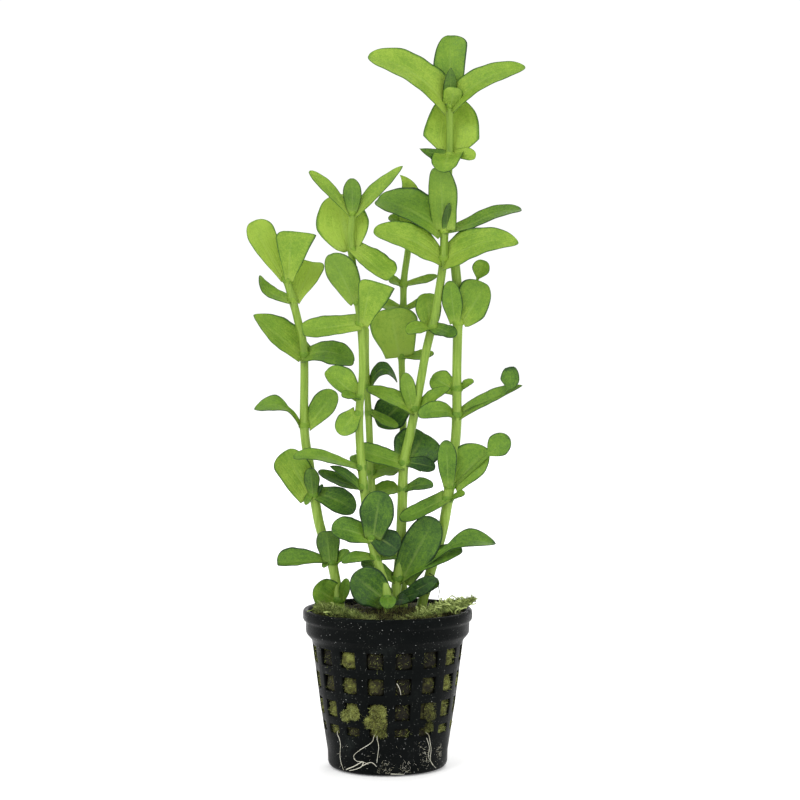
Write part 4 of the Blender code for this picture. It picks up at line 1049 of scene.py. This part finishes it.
def make_pad(name, material):
    """Stringy moss that keeps to the pad that the CAD model has here."""
    bright, strings, count, length = PAD_LOOK[name]
    local = np.random.default_rng(len(name))
    rows = smooth(MOSS[name], PAD_ROWS)
    path, wide, tall = rows[:, :3], rows[:, 3], rows[:, 4]
    runs = units(np.gradient(path, axis=0))
    across = units(np.cross(runs, UPWARD))
    angles = turns(PAD_SIDES)
    rings = path[:, None] + 0.8 * ((wide[:, None] * np.cos(angles))[..., None] * across[:, None]
                                   + (tall[:, None] * np.sin(angles))[..., None] * UPWARD)
    lumps = 0.3 * ripple(rings[1:-1], 2.2, 11) + 0.14 * ripple(rings[1:-1], 0.8, 13)
    rings[1:-1] += lumps[..., None] * np.array([0, -0.3, 1.0])
    points, faces, _ = loops(rings)
    parts = [(points, faces, {"lit": bright - 0.25 + 0.2 * ripple(points, 2, 12)})]
    for _ in range(strings):
        k = local.integers(4, 52)
        angle = local.uniform(0.1, math.pi - 0.1)
        start = (path[k] + across[k] * wide[k] * 0.8 * math.cos(angle)
                 + UPWARD * tall[k] * 0.75 * math.sin(angle))
        way = runs[k] * local.choice([-1, 1]) + local.normal(size=3) * [0.5, 0.5, 0.25]
        line = wander(start, way, local.uniform(2, 5), 0.32, local)
        parts.append(swept(line, local.uniform(0.1, 0.24), 5, bright + local.uniform(-0.25, 0.4), 0.6))
    top = rings[:, 1:10].reshape(-1, 3)
    parts.append(fuzz(top, np.array([0, -0.2, 0.8]), count, length, bright, local, 0.085, 0.6, 0.8))
    return piece("strings_" + name, join(parts), material, "moss", [name])


def make_strand(name, material, slot, thin):
    """A root or tendril that keeps to its solid's route with a slight waver and tapers to its end."""
    radius, route = STRANDS[name]
    path = smooth(route, STRAND_ROWS)
    path = path + 0.06 * np.stack([ripple(path, 3, 70 + axis + len(name)) for axis in range(3)], 1)
    sizes = thin * radius * np.linspace(1, 0.5, STRAND_ROWS) * (1 + 0.15 * ripple(path, 0.8, 75))
    strand = swept(path, sizes, STRAND_SIDES, 0.7 + 0.2 * ripple(path, 2.5, 76))
    return piece("strand_" + name, strand, material, slot, [name])


def on_wall(x, height, lift):
    """A point just outside the front of the pot's wall."""
    return np.array([x, -math.sqrt((wall_radius(height) + lift) ** 2 - x**2), height])


def make_fine_roots(material):
    """Thin roots and pale fibres that cling to the outside of the pot."""
    local = np.random.default_rng(FINE_ROOT_SEED)
    parts = []
    for radius, route in FINE_ROOTS:
        path = smooth([on_wall(x, z, radius) for x, z in route], 40)
        parts.append(swept(path, radius * np.linspace(1, 0.6, 40), 6, 0.75))
    for x0, x1, z0, z1, count in DUST_FIBRES:
        for _ in range(count):
            x, z = local.uniform(x0, x1), local.uniform(z0, z1)
            dx, dz = local.normal(size=2) * [0.45, 0.4]
            route = [on_wall(x, z, 0.06), on_wall(x + dx * 0.5, max(0.9, z + dz * 0.7), 0.09),
                     on_wall(x + dx, max(0.9, z + dz), 0.06)]
            parts.append(swept(smooth(route, 5), local.uniform(0.015, 0.035), 4, local.uniform(0.3, 0.9)))
    return piece("fine_roots", join(parts), material, "root")


# The studio. Its places and sizes are in metres.

FLOOR_RADIUS, FLOOR_DROP, FLOOR_SIDES = 9.0, 0.0002, 64
WORLD_LIGHT, FLOOR_LIGHT = 1.05, 0.16
AIM = Vector((0, 0, 0.11))
LIGHTS = {"key_light": ((-0.7, -0.9, 1.0), 0.8, 7), "fill_light": ((0.9, -0.8, 0.5), 0.9, 3),
          "back_light": ((0.3, 1.1, 0.8), 0.9, 6)}
CAMERA_LENS, CAMERA_SENSOR = 105.44, 36
CAMERA_PLACE = (0.00373, -0.7011, 0.1443)
CAMERA_DROP = math.radians(2.791)


def make_floor():
    look = Look("studio_floor")
    shade = look.noise(60, 3)
    look.surface(look.ramp(shade, FLOOR_COLOURS), look.between(shade, 0, 1, 0.75, 0.9), 0.1)
    look.wire(look.shader, {"Emission Color": (1, 1, 1, 1), "Emission Strength": FLOOR_LIGHT})
    data = bpy.data.meshes.new("studio_floor")
    corners = [(FLOOR_RADIUS * math.cos(turn), FLOOR_RADIUS * math.sin(turn), -FLOOR_DROP)
               for turn in turns(FLOOR_SIDES)]
    data.from_pydata(corners, [], [tuple(range(FLOOR_SIDES))])
    data.materials.append(look.material)
    place_object("studio_floor", data)


def make_lights():
    """A white world, and three round softboxes that aim at the middle of the plant: place, size, power."""
    scene = bpy.context.scene
    scene.view_settings.view_transform = "Standard"
    scene.world = bpy.data.worlds.new("studio")
    scene.world.use_nodes = True
    background = scene.world.node_tree.nodes["Background"]
    background.inputs["Color"].default_value = (1, 1, 1, 1)
    background.inputs["Strength"].default_value = WORLD_LIGHT
    for name, (at, size, power) in LIGHTS.items():
        light = bpy.data.lights.new(name, "AREA")
        light.shape = "DISK"
        light.size = size
        light.energy = power
        obj = place_object(name, light)
        obj.location = at
        obj.rotation_euler = (AIM - Vector(at)).to_track_quat("-Z", "Y").to_euler()


def make_camera():
    """The photograph's camera: slightly above the plant and looking a little down."""
    camera = bpy.data.cameras.new("camera")
    camera.lens = CAMERA_LENS
    camera.sensor_width = CAMERA_SENSOR
    camera.clip_start = 0.05
    obj = place_object("camera", camera)
    obj.location = CAMERA_PLACE
    obj.rotation_euler = (math.pi / 2 - CAMERA_DROP, 0, 0)
    bpy.context.scene.camera = obj


make_camera()
make_lights()
make_floor()

leaf_look, stem_look = leaf_material(), stem_material()
moss_look = moss_material("moss_surface", MOSS_COLOURS, 0.85)
pad_look = moss_material("pad_surface", PAD_COLOURS, 0.5)
root_look = moss_material("root_surface", ROOT_COLOURS, 0.3)
for stem_name in STEMS:
    make_stem(stem_name, stem_look)
for group_name in LEAVES:
    make_leaves(group_name, leaf_look)
make_pot(plastic_material())
make_medium(moss_material("medium_surface", SOIL_COLOURS, 0.5))
make_hole_moss(moss_look)
for pad_name in MOSS:
    make_pad(pad_name, pad_look)
for strand_name in STRANDS:
    if strand_name == "tendril":
        dead_look = moss_material("dead_surface", DEAD_COLOURS, 0.4)
        make_strand(strand_name, dead_look, "dead_tendril", TENDRIL_THIN)
    else:
        make_strand(strand_name, root_look, "root", ROOT_THIN)
make_fine_roots(root_look)
